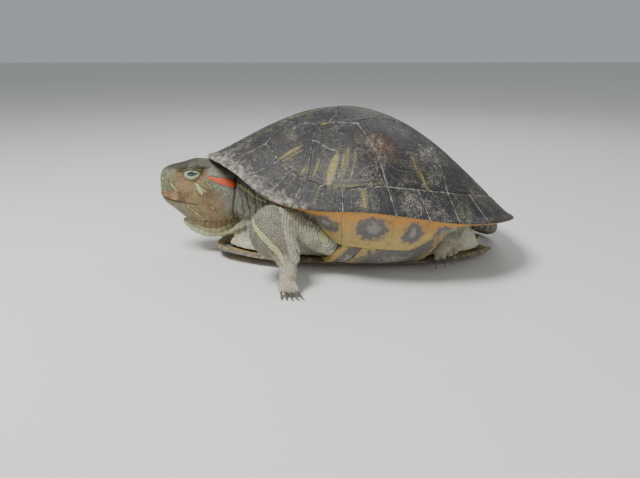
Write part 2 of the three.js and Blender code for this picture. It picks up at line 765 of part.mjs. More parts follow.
function eyeball(side, grow = 0) {
  const ball = new THREE.SphereGeometry(EYE.radius + grow, 12, 6).rotateZ(Math.PI / 2);
  ball.deleteAttribute("normal");
  ball.deleteAttribute("uv");
  return ball.translate(side * EYE.at[0], EYE.at[1], EYE.at[2]);
}

// All that lies under the mouth's line and ahead of the jaw's hinge.
const JAW_BLOCK = { half: 30, floor: 5 };
function jawBlock(grow = 0) {
  const { front, middle, corner, hinge } = MOUTH;
  const outline = new THREE.Shape([
    p2(front[0], front[1] + grow),
    p2(middle[0], middle[1] + grow),
    p2(corner[0] + grow, corner[1] + grow),
    p2(hinge[0] + grow, hinge[1]),
    p2(hinge[0] + grow, JAW_BLOCK.floor),
    p2(front[0], JAW_BLOCK.floor),
  ]);
  const block = new THREE.ExtrudeGeometry(outline, { depth: 2 * JAW_BLOCK.half, bevelEnabled: false });
  block.deleteAttribute("normal");
  block.deleteAttribute("uv");
  return toSolid(block.rotateX(Math.PI / 2).rotateZ(Math.PI / 2).translate(-JAW_BLOCK.half, 0, 0));
}

// ---------------------------------------------------------------- finishes
const FINISHES = {
  carapace: { color: "#3b3a36", roughness: 0.8, metalness: 0 },
  rim: { color: "#4b463b", roughness: 0.8, metalness: 0 },
  plastron: { color: "#b09a55", roughness: 0.6, metalness: 0 },
  skin: { color: "#5c5f50", roughness: 0.75, metalness: 0 },
  head: { color: "#5d5340", roughness: 0.65, metalness: 0 },
  throat: { color: "#a8a180", roughness: 0.75, metalness: 0 },
  foot: { color: "#8f8568", roughness: 0.8, metalness: 0 },
  eye: { color: "#a8bd98", roughness: 0.12, metalness: 0 },
};

function add(group, name, geometry, finish) {
  const mesh = new THREE.Mesh(geometry, new THREE.MeshStandardMaterial(FINISHES[finish]));
  mesh.name = name;
  group.add(mesh);
  return mesh;
}

// ---------------------------------------------------------------- the animal
// From the shell's own frame to the ground: its nose up, its left side up, and lifted.
const STANCE = new THREE.Matrix4()
  .makeTranslation(0, SHELL.forward, SHELL.lift)
  .multiply(new THREE.Matrix4().makeRotationY(radians(-SHELL.roll)))
  .multiply(new THREE.Matrix4().makeRotationX(radians(-SHELL.pitch)));

function makeCarapace() {
  const shell = new THREE.Group();
  shell.applyMatrix4(STANCE);
  for (let i = 0; i < 5; i++) add(shell, `vertebral_${i + 1}`, vertebralPlate(i), "carapace");
  for (let i = 0; i < 4; i++) {
    add(shell, `costal_left_${i + 1}`, costalPlate(i), "carapace");
    add(shell, `costal_right_${i + 1}`, costalPlate(i), "carapace").scale.x = -1;
  }
  const nuchalSides = [MARGINAL_SEAMS[0].map((angle) => -angle), MARGINAL_SEAMS[0]];
  add(shell, "nuchal", rimPlate(...nuchalSides), "rim");
  for (let i = 1; i < MARGINAL_SEAMS.length; i++) {
    const sides = [MARGINAL_SEAMS[i - 1], MARGINAL_SEAMS[i]];
    add(shell, `marginal_left_${i}`, rimPlate(...sides), "rim");
    add(shell, `marginal_right_${i}`, rimPlate(...sides), "rim").scale.x = -1;
  }
  return shell;
}

// The plates of the underside lie level, and rest on the ground along their lower, right edge.
function makePlastron() {
  const plastron = new THREE.Group();
  PLASTRON_NAMES.forEach((name, i) => {
    const wing = wings[name];
    const pieces = wing ? [plastronPlate(i), wing, flipped(wing)] : [plastronPlate(i)];
    const solid = joined(...pieces.map((piece) => piece.applyMatrix4(STANCE)));
    add(plastron, `${name}_plates`, toGeometry(solid.subtract(groundSolid)), "plastron");
  });
  return plastron;
}

function makeBody() {
  const body = new THREE.Group();
  let trunk = toSolid(trunkGeometry().applyMatrix4(STANCE));
  for (const room of [neckSolid(GAP), tailSolid(GAP), throatSolid(GAP)]) trunk = trunk.subtract(room);
  for (const name of Object.keys(LIMBS)) {
    trunk = trunk.subtract(limbSolid(name, 1.5 * GAP));
    add(body, name, toGeometry(limbSolid(name).subtract(neckSolid(GAP))), "skin");
  }
  add(body, "trunk", toGeometry(trunk), "skin");
  add(body, "neck", toGeometry(neckSolid().subtract(headSolid(GAP))), "skin");
  add(body, "tail", toGeometry(tailSolid().subtract(groundSolid)), "skin");
  const throat = throatSolid().subtract(headSolid(GAP)).subtract(neckSolid(GAP));
  add(body, "throat_fold", toGeometry(throat), "throat");
  return body;
}

function makeHead() {
  const head = new THREE.Group();
  const skull = headSolid().subtract(toSolid(eyeball(1, GAP))).subtract(toSolid(eyeball(-1, GAP)));
  add(head, "head", toGeometry(skull.subtract(jawBlock(GAP))), "head");
  add(head, "lower_jaw", toGeometry(skull.intersect(jawBlock())), "head");
  add(head, "eye_left", eyeball(1), "eye");
  add(head, "eye_right", eyeball(-1), "eye");
  return head;
}

function makeFeet() {
  const feet = new THREE.Group();
  for (const [name, foot] of Object.entries(FEET)) {
    const solid = joined(...footGeometries(foot)).subtract(groundSolid);
    add(feet, name, toGeometry(solid.subtract(limbSolid(foot.leg, GAP))), "foot");
  }
  return feet;
}

const turtle = new THREE.Group();
turtle.add(makeCarapace(), makePlastron(), makeBody(), makeHead(), makeFeet());
turtle.position.set(CENTRE.x, CENTRE.y, 0);
export default turtle;
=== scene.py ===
"""A red-eared slider turtle at life size, as a still model: horn plates, skin, scales, claws and eyes."""

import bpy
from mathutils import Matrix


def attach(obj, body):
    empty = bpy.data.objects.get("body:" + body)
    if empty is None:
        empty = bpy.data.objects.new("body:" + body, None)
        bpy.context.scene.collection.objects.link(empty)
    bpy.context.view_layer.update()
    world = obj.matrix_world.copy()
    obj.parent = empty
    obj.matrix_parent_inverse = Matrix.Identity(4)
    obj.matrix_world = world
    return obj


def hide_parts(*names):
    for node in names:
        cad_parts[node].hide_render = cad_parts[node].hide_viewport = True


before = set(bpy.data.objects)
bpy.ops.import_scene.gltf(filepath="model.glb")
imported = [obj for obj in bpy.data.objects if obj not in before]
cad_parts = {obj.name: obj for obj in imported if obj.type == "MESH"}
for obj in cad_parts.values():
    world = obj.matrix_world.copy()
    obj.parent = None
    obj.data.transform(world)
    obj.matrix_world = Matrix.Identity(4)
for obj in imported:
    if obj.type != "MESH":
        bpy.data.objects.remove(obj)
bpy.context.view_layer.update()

import math
import random

import bmesh
import bpy
import numpy as np
from bpy.props import FloatProperty, FloatVectorProperty, PointerProperty
from mathutils import Vector, noise
from mathutils.bvhtree import BVHTree

bl_info = {
    "name": "Red-eared slider turtle",
    "version": (1, 0, 0),
    "blender": (4, 5, 0),
    "location": "View3D > Sidebar > Turtle",
    "description": "Builds the shell, skin, scales, eyes and claws of a life-size slider turtle",
    "category": "Add Mesh",
}

MM = 0.001  # the tables below are in millimetres
CENTRE = np.array([0.2, 5.5, 0.0])  # from the body's own origin to the frame's
SHELL = {"centre_y": -9.6, "height": 92.5, "plate": 3.0,
         "pitch": 3.0, "roll": 3.0, "lift": 3.1, "forward": 8.0}
LIP = 12.0  # from the rim's edge to the end of its underside
BRIDGE = {"start": 59, "full": 88, "fade": 116, "end": 140, "inset": 13.0, "height": 15.0}
DOME_POWER = {"front": 1.34, "side": 0.89, "rear": 1.27}
SEAM = 0.05  # between neighbouring plates of horn

# Tables against the angle round the dome's top: 0 at the front, 90 at the left, 180 at the tail.
RIM_RADIUS = [(0, 90.4), (20, 82), (40, 74.3), (60, 71.5), (80, 73.7), (100, 80.8), (120, 90.6), (140, 102.7),
              (160, 109.6), (180, 109.6)]
RIM_HEIGHT = [(0, 56.5), (25, 53), (50, 39.5), (75, 36.9), (100, 38.6), (130, 34.3), (155, 32.2), (180, 28)]
MARGINAL_SHARE = [(0, 0.8), (27, 0.73), (43, 0.785), (63, 0.86), (86, 0.91), (106, 0.877), (132, 0.85),
                  (180, 0.86)]
MARGINAL_SEAMS = [(2.6, 3.5), (17.5, 26.5), (31.5, 42.5), (47, 53), (61.5, 65), (86.5, 85.7), (107, 105.6),
                  (119, 119), (129.5, 132), (141.5, 143), (154, 155), (167, 167.5), (180, 180)]
# Seams of the left half in plan, front to rear.
MARGIN_MEETS = [1, 4, 6, 8, 10]
CORNERS = [(14, -47), (20, -18), (17, 20), (12, 60)]
POINTS = [(24, -31), (32, -7), (25, 38)]
BENDS = [(46, -34), (55, 5), (47, 44)]
FRONT_BEND = (18.5, -56)
REAR_BEND = (24, 68)

PLASTRON_WIDTH = [(-93, 14), (-85, 24), (-65, 35), (-45, 42), (-20, 46.5), (0, 48), (30, 48), (48, 44),
                  (65, 38), (80, 27), (90, 14)]
PLASTRON_SEAMS = [(-93, -91), (-72, -83), (-50, -46), (-18, -12), (24, 38), (58, 66), (83, 89)]
PLASTRON_NAMES = ["gular", "humeral", "pectoral", "abdominal", "femoral", "anal"]
PLASTRON = {"slope": math.tan(math.radians(3)), "middle": -2.1, "curl": 2.2, "gular_rise": 2.0}
WINGS = {  # the stretch of the bridge that each plate climbs: low edge and top edge, along the shell
    "pectoral": ((-24, -12.5), (-12, -1.5)),
    "abdominal": ((-11.8, 35), (-0.8, 50)),
}

# Flesh rows of (place, top, bottom, half width) from the snout backwards.
HEAD = [(-120.4, 48, 42, 2), (-119.4, 54.5, 37, 6.2), (-116.5, 57.5, 32.8, 9), (-112, 59.2, 29.6, 11),
        (-106, 60.6, 24.2, 12.9), (-100, 62.4, 19.6, 14.4), (-94, 63.0, 15.2, 15.8), (-87, 62.2, 12.8, 17.2),
        (-80, 59.6, 14, 18), (-74, 56.8, 18.5, 18), (-69.6, 54.2, 23.5, 17.2), (-66, 53, 25, 16)]
NECK = [(-74, 52, 26, 15), (-69.2, 54, 23, 17.4), (-64, 54.5, 18.5, 19), (-56, 55.5, 15, 20.5),
        (-46, 57, 13.5, 22), (-34, 57, 13, 22)]
THROAT_FOLD = [(-107.6, 22.5, 20.5, 1.2), (-105.5, 22.8, 17.6, 5), (-100, 20.6, 13.2, 8.5),
               (-92, 17.6, 10, 10), (-84, 17.5, 10, 11), (-76, 20, 11.6, 14), (-66, 26, 16.4, 20),
               (-60, 26, 18, 18)]
# Limbs as rows of (x, y, z, half width, half thickness).
LIMBS = {
    "left_foreleg": [(34, -20, 30, 12, 12), (47, -37, 30, 12.5, 13.5), (58, -45.5, 30, 12.5, 14.5),
                     (66, -41, 26, 12, 11.5), (71, -36, 20, 8.6, 8.2), (75, -34.6, 15, 5.8, 5.6)],
    "right_foreleg": [(-34, -20, 30, 12, 12), (-47, -38, 27, 12, 12.5), (-59, -46, 25, 12, 12.5),
                      (-67, -41, 20.5, 12, 10.5), (-73.5, -38, 15, 10, 8.5), (-77.5, -38.5, 11.5, 9, 6)],
    "left_hind_leg": [(24, 62, 26, 12, 12), (36, 60, 25, 11, 11), (44, 59, 21.5, 8.5, 8.5),
                      (47, 58.5, 18, 8, 6)],
    "right_hind_leg": [(-24, 58, 20, 13, 11), (-38, 62, 19, 13, 11), (-48, 69, 15, 11, 9.5),
                       (-53.5, 74, 11, 9, 7)],
    "tail": [(0, 78, 21.5, 8.5, 8), (-3, 92, 18.5, 7, 6.5), (-10, 102.5, 13, 5.4, 5),
             (-20, 105.5, 7.6, 4, 3.6), (-30, 103.5, 3.8, 2.8, 2.4), (-38, 99, 1.8, 1.2, 1.2)],
}
FEET = {
    "left_forefoot": {"leg": "left_foreleg", "from": (75.6, -34.5, 14), "to": (84.5, -35.5, 5),
                      "facing": (0.7, 0, 0.7), "half": 4.9, "thick": 5.6, "toes": 5, "spread": 0.4,
                      "lean": 0.36, "toe": 7, "claw": 7.5},
    "right_forefoot": {"leg": "right_foreleg", "from": (-78.2, -38.6, 10.6), "to": (-86.5, -40, 3.4),
                       "facing": (-0.6, 0, 0.8), "half": 8.6, "thick": 5.4, "toes": 5, "spread": 0.9,
                       "lean": 0, "toe": 5, "claw": 6},
    "left_hind_foot": {"leg": "left_hind_leg", "from": (47.6, 58.5, 17), "to": (51.2, 59.6, 13),
                       "facing": (0.8, -0.3, 0.5), "half": 7, "thick": 4.6, "toes": 4, "spread": 0.7,
                       "lean": 0, "toe": 4, "claw": 5},
    "right_hind_foot": {"leg": "right_hind_leg", "from": (-54.2, 74.6, 10), "to": (-60, 81, 3.6),
                        "facing": (-0.5, 0.5, 0.7), "half": 8.6, "thick": 5.6, "toes": 4, "spread": 1,
                        "lean": 0, "toe": 5, "claw": 5.5},
}
TOE = {"side": 1.7, "back": 2.1, "tip": 1.45, "lowest": 1.5}
FLOOR_GAP = 0.02  # the lowest place of skin, scales and claws
SNOUT_END = -120.3  # nothing of the skin reaches further forward
FAR = 9.0  # a mark's distance where there is no mark
NO_STREAK = 8.0  # the same for the horn's streaks
SHARP_DEGREES = 55
PLATE_FACES = 1.75  # faces of a dome plate along a millimetre
RIM_FACES = (52, 2.2)  # faces of a rim plate across it, and along a degree
CLAW = {"side": 1.1, "back": 1.2, "tip": 0.35, "droop": 0.2, "arch": 0.5, "lowest": 0.3}
EYE = {"radius": 6.0, "at": (7.4, -97.6, 55.0), "gaze": (0.98, -0.12, -0.16), "along": (0.1, 0.97, 0.06)}

CAMERA = {"at": (0.4161, -0.0165, 0.1356), "ahead": (-0.9553, 0.0146, -0.2953)}

# Half sizes of the eye's opening, along it and across it.
EYE_OPENING = (6.0, 3.3)
MOUTH_LINE = [(-121, 39.2), (-115, 37.6), (-107, 36.2), (-100, 35.2), (-93.5, 34.6)]
CREASE_LINE = [(31.6, -71.5), (42.4, -69.9), (50.2, -69.6)]  # (height, place) of the fold behind the head


# ---------------- sizes and colours a user would change
def colour(name, description, default):
    return FloatVectorProperty(name=name, description=description, subtype="COLOR", size=3, min=0, max=1,
                               default=default)


class TurtleSizes(bpy.types.PropertyGroup):
    growth_ring: FloatProperty(name="Growth ring", description="Height of the horn's growth rings, in mm",
                               default=0.1, min=0, max=1)
    seam_width: FloatProperty(name="Seam width", description="Width of the rounded edge beside a seam, in mm",
                              default=1.1, min=0.2, max=4)
    seam_depth: FloatProperty(name="Seam depth", description="Depth of the groove at a seam, in mm",
                              default=0.4, min=0, max=2)
    skin_voxel: FloatProperty(name="Skin detail", description="Width of one face of the skin, in mm",
                              default=0.8, min=0.4, max=3)
    scale_rise: FloatProperty(name="Scale rise",
                              description="Height of a scale's free edge over the skin, in mm",
                              default=0.28, min=0, max=1)


class TurtleColours(bpy.types.PropertyGroup):
    horn: colour("Horn", "Worn dark horn of the back", (0.022, 0.022, 0.024))
    horn_olive: colour("Olive horn", "Olive cast of the horn", (0.060, 0.055, 0.034))
    streak: colour("Streak", "Faded yellow streaks of the horn", (0.31, 0.25, 0.07))
    dust: colour("Dust", "Dry dust in seams and scratches", (0.50, 0.46, 0.39))
    under: colour("Underside", "Yellow horn of the underside", (0.42, 0.30, 0.10))
    orange: colour("Orange", "Orange cast of the rim's underside", (0.46, 0.21, 0.04))
    slate: colour("Slate", "Slate grey of the smudges", (0.085, 0.085, 0.095))
    skin: colour("Skin", "Grey-olive skin", (0.17, 0.17, 0.12))
    stripe: colour("Stripe", "Pale yellow-green stripes", (0.42, 0.45, 0.21))
    ear: colour("Ear stripe", "Red stripe behind the eye", (0.62, 0.06, 0.022))
    claw: colour("Claw", "Claws", (0.10, 0.085, 0.06))
    iris: colour("Iris", "Pale green iris", (0.36, 0.55, 0.34))


def sizes():
    return bpy.context.scene.turtle_sizes


def colours():
    return bpy.context.scene.turtle_colours


# ---------------- curves and the shell's surface, in millimetres
def cubic(a, b, slope_a, slope_b, t):
    """The cubic from a to b with these slopes at its ends, at t from 0 to 1."""
    t2, t3 = t * t, t ** 3
    return ((2 * t3 - 3 * t2 + 1) * a + (t3 - 2 * t2 + t) * slope_a + (3 * t2 - 2 * t3) * b
            + (t3 - t2) * slope_b)


def through(table, place):
    """A smooth curve through a table of (place, value), read at an array of places."""
    knots = np.asarray(table, float)
    x, y = knots[:, 0], knots[:, 1]
    at = np.clip(place, x[0], x[-1])
    i = np.searchsorted(x[1:-1], at)
    before, after = np.maximum(i - 1, 0), np.minimum(i + 2, len(x) - 1)
    run = x[i + 1] - x[i]
    slope0 = (y[i + 1] - y[before]) / (x[i + 1] - x[before]) * run
    slope1 = (y[after] - y[i]) / (x[after] - x[i]) * run
    return cubic(y[i], y[i + 1], slope0, slope1, (at - x[i]) / run)


def around_shell(table, angle):
    before = (-table[1][0], table[1][1])
    after = (360 - table[-2][0], table[-2][1])
    return through([before, *table, after], np.abs(angle))


def smoothstep(x, low, high):
    t = np.clip((np.asarray(x, float) - low) / (high - low), 0, 1)
    return t * t * (3 - 2 * t)


def lerp(a, b, t):
    return a + (b - a) * t


def unit(v):
    v = np.asarray(v, float)
    return v / np.linalg.norm(v, axis=-1, keepdims=True)


def rim_radius(angle):
    return around_shell(RIM_RADIUS, angle)


def rim_height(angle):
    return around_shell(RIM_HEIGHT, angle)


def marginal_share(angle):
    return around_shell(MARGINAL_SHARE, angle)


def dome_height(angle, share):
    c = np.cos(np.radians(angle))
    end = np.where(c > 0, DOME_POWER["front"], DOME_POWER["rear"])
    power = lerp(DOME_POWER["side"], end, c * c)
    return lerp(rim_height(angle), SHELL["height"], np.maximum(1 - share * share, 0) ** power)


def plan_point(angle, radius):
    a = np.radians(angle)
    return np.stack([np.sin(a) * radius, SHELL["centre_y"] - np.cos(a) * radius], -1)


def polar(x, y):
    """The angle round the dome's top, and the share of the way out to the rim."""
    angle = np.degrees(np.arctan2(x, SHELL["centre_y"] - y))
    return angle, np.hypot(x, y - SHELL["centre_y"]) / rim_radius(angle)


def dome_z(x, y):
    return dome_height(*polar(x, y))


def dome_point(plan, depth):
    """The dome over plan points, moved inwards along its normal."""
    x, y, step = plan[:, 0], plan[:, 1], 0.5
    slope_x = (dome_z(x + step, y) - dome_z(x - step, y)) / (2 * step)
    slope_y = (dome_z(x, y + step) - dome_z(x, y - step)) / (2 * step)
    normal = unit(np.stack([-slope_x, -slope_y, np.ones_like(x)], -1))
    return np.stack([x, y, dome_z(x, y)], -1) - normal * np.asarray(depth, float)[..., None]


def turn(axis, degrees):
    c, s = math.cos(math.radians(degrees)), math.sin(math.radians(degrees))
    return np.array([[1, 0, 0], [0, c, -s], [0, s, c]] if axis == "x" else [[c, 0, s], [0, 1, 0], [-s, 0, c]])


SHELL_TURN = turn("y", -SHELL["roll"]) @ turn("x", -SHELL["pitch"])


def from_shell(points):
    return points @ SHELL_TURN.T + np.array([0, SHELL["forward"], SHELL["lift"]])


def along(line, share):
    """Points along a line of plan points, by their share of its length."""
    line = np.asarray(line, float)
    steps = np.linalg.norm(np.diff(line, axis=0), axis=1)
    reach = np.concatenate([[0], np.cumsum(steps)]) / steps.sum()
    return np.stack([np.interp(share, reach, line[:, c]) for c in (0, 1)], -1)


def coons(south, north, west, east, u, v):
    """A patch between four seams in plan; south and north run from west to east."""
    u1, v1 = u[:, None], v[:, None]
    corners = (along(south, 0) * (1 - u1) * (1 - v1) + along(south, 1) * u1 * (1 - v1)
               + along(north, 0) * (1 - u1) * v1 + along(north, 1) * u1 * v1)
    return (along(south, u) * (1 - v1) + along(north, u) * v1
            + along(west, v) * (1 - u1) + along(east, v) * u1 - corners)


def noise_at(points, size, seed=0.0, octaves=1):
    """Smooth noise from -1 to 1 at points in millimetres; size is the width of one swell."""
    out = np.empty(len(points))
    for i, p in enumerate(points / size):
        at = (p[0] + seed, p[1], p[2])
        out[i] = noise.noise(at) if octaves == 1 else noise.fractal(at, 1.0, 2.0, octaves)
    return out


def distance_to_line(points, line, halves=None, most=1e9):
    """Distance of points to a line of any dimension, less its half width, which may change at each corner."""
    line = np.asarray(line, float)
    halves = np.zeros(len(line)) if halves is None else halves
    best = np.full(len(points), most)
    for k, way in enumerate(np.diff(line, axis=0)):
        t = np.clip((points - line[k]) @ way / (way @ way), 0, 1)
        away = np.linalg.norm(points - line[k] - t[:, None] * way, axis=1)
        best = np.minimum(best, away - lerp(halves[k], halves[k + 1], t))
    return best


def bell(x, width):
    return np.exp(-(x / width) ** 2)


# ---------------- pieces
def write_attribute(mesh, name, values):
    values = np.asarray(values, np.float32)
    if values.ndim == 1:
        mesh.attributes.new(name, "FLOAT", "POINT").data.foreach_set("value", values)
        return
    rgba = np.ones((len(values), 4), np.float32)
    rgba[:, :3] = values
    mesh.attributes.new(name, "FLOAT_COLOR", "POINT").data.foreach_set("color", rgba.ravel())


def made_mesh(bm, name):
    """A new mesh from bm, which is freed."""
    mesh = bpy.data.meshes.new(name)
    bm.to_mesh(mesh)
    bm.free()
    return mesh


def finish_piece(name, mesh, material, nodes=()):
    """Makes the object, smooths it and fixes it to the frame."""
    mesh.name = name
    mesh.materials.clear()
    mesh.materials.append(material)
    mesh.shade_smooth()
    piece = bpy.data.objects.new(name, mesh)
    bpy.context.collection.objects.link(piece)
    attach(piece, "root")
    if nodes:
        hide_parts(*nodes)
    return piece


def set_points(mesh, points):
    """Body points in millimetres become the mesh's places in the frame."""
    mesh.vertices.foreach_set("co", ((points + CENTRE) * MM).astype(np.float32).ravel())
    mesh.update()


def read_vectors(items, key="co"):
    values = np.empty(len(items) * 3, np.float32)
    items.foreach_get(key, values)
    return values.reshape(-1, 3).astype(float)


def get_points(mesh):
    return read_vectors(mesh.vertices) / MM - CENTRE


def plate_mesh(surface, across, lengthwise, flip=False):
    """A closed plate: surface(u, v, outer) gives body points and, for the outer face, its attributes."""
    bm = bmesh.new()
    bmesh.ops.create_grid(bm, x_segments=across, y_segments=lengthwise, size=1)
    u_layer, v_layer = bm.verts.layers.float.new("u"), bm.verts.layers.float.new("v")
    outer_layer = bm.verts.layers.float.new("outer")
    for vert in bm.verts:
        vert[u_layer], vert[v_layer] = (vert.co.x + 1) / 2, (vert.co.y + 1) / 2
    made = bmesh.ops.extrude_face_region(bm, geom=bm.faces[:])
    for item in made["geom"]:
        if isinstance(item, bmesh.types.BMVert):
            item[outer_layer] = 1
    bm.verts.ensure_lookup_table()
    u = np.array([vert[u_layer] for vert in bm.verts])
    v = np.array([vert[v_layer] for vert in bm.verts])
    outer = np.array([vert[outer_layer] for vert in bm.verts]) > 0.5
    points, attributes = surface(u, v, outer)
    if flip:
        bmesh.ops.reverse_faces(bm, faces=bm.faces[:])
    mesh = made_mesh(bm, "plate")
    for name in ("u", "v", "outer"):
        mesh.attributes.remove(mesh.attributes[name])
    set_points(mesh, points)
    for name, values in attributes.items():
        write_attribute(mesh, name, values)
    mesh.set_sharp_from_angle(angle=math.radians(SHARP_DEGREES))
    return mesh


# ---------------- horn of the shell
# Faded yellow streaks of the left half, in plan: the line and its half width at both ends and in the middle.
STREAKS = [
    ([(50.5, -18), (55.6, -19.8), (59.9, -21.6), (63.7, -22.6)], 2.9),
    ([(50, -11.5), (58.6, -12.5), (64.5, -15.5)], 0.55),
    ([(52, -14), (59, -14.6), (63.5, -17.4)], 0.7),
    ([(52.4, -7.7), (59.8, -8.3), (66.5, -11)], 0.4),
    ([(65.3, -20), (68.2, -10.4), (69.6, 0.6), (69, 8.5)], 0.0),
    ([(63.3, -19), (66.4, -10), (67.8, 0), (67.4, 7)], -0.2),
    ([(38.4, -52), (36.9, -45.4), (36.3, -38.4)], 1.1),
    ([(40.4, -50), (39.4, -44.4), (39.3, -38.4)], 0.45),
    ([(52.4, -38.9), (51.0, -37.1), (49.8, -34.6)], 0.9),
    ([(49.5, -28), (53, -29.5), (57, -31.5)], 0.7),
    ([(56.6, 29.3), (61.9, 31.7), (67.1, 34.4)], 0.8),
    ([(50, 25), (56, 27.5), (62, 29.5)], 0.4),
    ([(47, 62), (52, 66), (56, 70)], 0.7),
    ([(25.3, -27.8), (27.2, -23.4)], 1.3),
    ([(6, -50), (7, -38), (6, -26)], 0.5),
    ([(8, -12), (10, 2), (8, 14)], 0.5),
    ([(6, 26), (8, 40), (5, 54)], 0.5),
    ([(10, 72), (16, 82), (18, 90)], 0.6),
]
# Pale scars and scratches, in plan.
SCARS = [
    [(33.4, -36.1), (37.5, -30.7), (45.5, -24.2), (49.9, -18.4)],
    [(20, -20), (26, -23), (30, -16), (34, -4), (45, 4), (50, 12)],
    [(62, 4), (66, 6), (70, 9)],
]
DENT = {"at": (49, 7), "radius": 9.0, "depth": 0.7}  # an old hollow in the third plate


def streak_distance(plan):
    """Millimetres past the edge of the nearest yellow streak; both sides of the shell are alike."""
    at = np.stack([np.abs(plan[:, 0]), plan[:, 1]], -1)
    best = np.full(len(at), NO_STREAK)
    for line, half in STREAKS:
        middle = np.mean(line, axis=0)
        reach = np.linalg.norm(np.subtract(line[-1], line[0])) / 2
        taper = np.clip(np.linalg.norm(at - middle, axis=1) / reach, 0, 1) ** 2
        best = np.minimum(best, distance_to_line(at, line) - half * (1 - 0.8 * taper))
    return best


def scar_distance(plan):
    return np.minimum.reduce([distance_to_line(plan, line) for line in SCARS])


def seam_groove(edge):
    """Depth of the rounded groove at a seam, by the distance from the plate's edge."""
    return sizes().seam_depth * np.clip(1 - edge / sizes().seam_width, 0, 1) ** 2


def horn_relief(plan, u, v, size, areola):
    """How far the horn lies under the plate's smooth surface, with its ring coordinate and edge distance."""
    edge = np.minimum(np.minimum(u, 1 - u) * size[0], np.minimum(v, 1 - v) * size[1])
    ring_u, ring_v = (np.where(at > start, (at - start) / (1 - start), (start - at) / start)
                      for at, start in ((u, areola[0]), (v, areola[1])))
    ring = (ring_u ** 6 + ring_v ** 6) ** (1 / 6)
    flat = np.column_stack([plan, np.zeros(len(plan))])
    wander = noise_at(flat, 9.0, 3.0)
    count = max(size) * 0.42
    annuli = (0.5 - 0.5 * np.cos(2 * np.pi * (ring * count + 0.45 * wander))) * smoothstep(ring, 0.12, 0.6)
    depth = seam_groove(edge) + sizes().growth_ring * annuli
    depth += 0.22 * (1 + noise_at(flat, 17.0, 11.0)) + 0.05 * (1 + noise_at(flat, 2.6, 5.0))
    return depth, ring, edge


def front_dust(angle, share):
    """Dust gathers along the front rim and fades towards the bridge."""
    return smoothstep(share, 0.84, 1.0) * (1 - smoothstep(np.abs(angle), 55, 95)) * 0.75


def dome_plate(name, south, north, west, east, areola, mirrored=False):
    middle = [along(line, np.array([0.5]))[0] for line in (south, north, west, east)]
    size = (np.linalg.norm(middle[3] - middle[2]) * 1.15, np.linalg.norm(middle[1] - middle[0]) * 1.3)
    trim = (SEAM / size[0], SEAM / size[1])

    def surface(u, v, outer):
        plan = coons(south, north, west, east, lerp(trim[0], 1 - trim[0], u), lerp(trim[1], 1 - trim[1], v))
        if mirrored:
            plan = plan * [-1, 1]
        depth, ring, edge = horn_relief(plan, u, v, size, areola)
        hollow = bell(np.linalg.norm(plan - DENT["at"], axis=1), DENT["radius"])
        depth = depth + DENT["depth"] * hollow + 0.12 * bell(scar_distance(plan), 0.4)
        points = from_shell(dome_point(plan, np.where(outer, depth, SHELL["plate"])))
        scars = bell(scar_distance(plan), 0.45)
        dust = np.maximum(0.85 * bell(edge, 0.3), front_dust(*polar(*plan.T))) + 0.75 * scars
        return points, {"ring": ring, "edge": edge, "streak": streak_distance(plan), "dust": dust,
                        "hollow": hollow}

    mesh = plate_mesh(surface, int(size[0] * PLATE_FACES), int(size[1] * PLATE_FACES), flip=mirrored)
    return finish_piece("scute_" + name, mesh, turtle_horn(), [name])


def margin_point(angle):
    return plan_point(angle, marginal_share(angle) * rim_radius(angle))


def margin_seam(first, last, steps=8):
    angles = []
    for k in range(first, last):
        angles.extend(np.linspace(MARGINAL_SEAMS[k][1], MARGINAL_SEAMS[k + 1][1], steps + 1)[(k > first):])
    angles = np.array(angles)
    return margin_point(angles)


def costal_seams(i):
    south = margin_seam(MARGIN_MEETS[i], MARGIN_MEETS[i + 1])
    north = {0: [CORNERS[0], POINTS[0]], 3: [POINTS[2], CORNERS[3]]}.get(i, None)
    north = np.array(north or [POINTS[i - 1], CORNERS[i], POINTS[i]], float)
    west = np.array([south[0], FRONT_BEND if i == 0 else BENDS[i - 1], north[0]])
    east = np.array([south[-1], REAR_BEND if i == 3 else BENDS[i], north[-1]])
    return south, north, west, east


def vertebral_seams(i):
    def across(k):
        return np.array([(-CORNERS[k][0], CORNERS[k][1]), CORNERS[k]], float)

    def both_sides(line):
        return np.concatenate([(line[1:] * [-1, 1])[::-1], line])

    front = np.concatenate([[margin_point(0.0)], margin_seam(0, MARGIN_MEETS[0])])
    rear = margin_seam(MARGIN_MEETS[4], len(MARGINAL_SEAMS) - 1)[::-1]
    south = both_sides(front) if i == 0 else across(i - 1)
    north = both_sides(rear) if i == 4 else across(i)
    bend = {0: FRONT_BEND, 4: REAR_BEND}.get(i, None) or POINTS[i - 1]
    east = np.array([south[-1], bend, north[-1]])
    return south, north, east * [-1, 1], east


def bridge_share(angle):
    return (smoothstep(angle, BRIDGE["start"], BRIDGE["full"])
            * (1 - smoothstep(angle, BRIDGE["fade"], BRIDGE["end"])))


def rim_chain(rim_angle, inner_angle):
    """Seven places round the rim's section, from the dome over the edge to the end of the underside."""
    radius, rim = rim_radius(rim_angle), rim_height(rim_angle)
    share = bridge_share(np.abs(rim_angle))
    start = marginal_share(inner_angle) + 2 * SEAM / rim_radius(inner_angle)

    def at(angle, r, z):
        return np.column_stack([plan_point(angle, r), z])

    chain = []
    for t in (0, 0.4, 0.75):
        angle = lerp(inner_angle, rim_angle, t)
        reach = lerp(start, 1, t)
        chain.append(at(angle, reach * rim_radius(angle), dome_height(angle, reach)))
    keel = (radius - 0.5, rim - 1.6)
    under = (lerp(radius - LIP, radius - BRIDGE["inset"], share), lerp(rim - 0.5, BRIDGE["height"], share))
    belly = ((keel[0] + under[0]) / 2 + 3.2 * share, (keel[1] + under[1]) / 2)
    for r, z in ((radius, rim + 0.3), keel, belly, under):
        chain.append(at(rim_angle, r, z))
    return chain


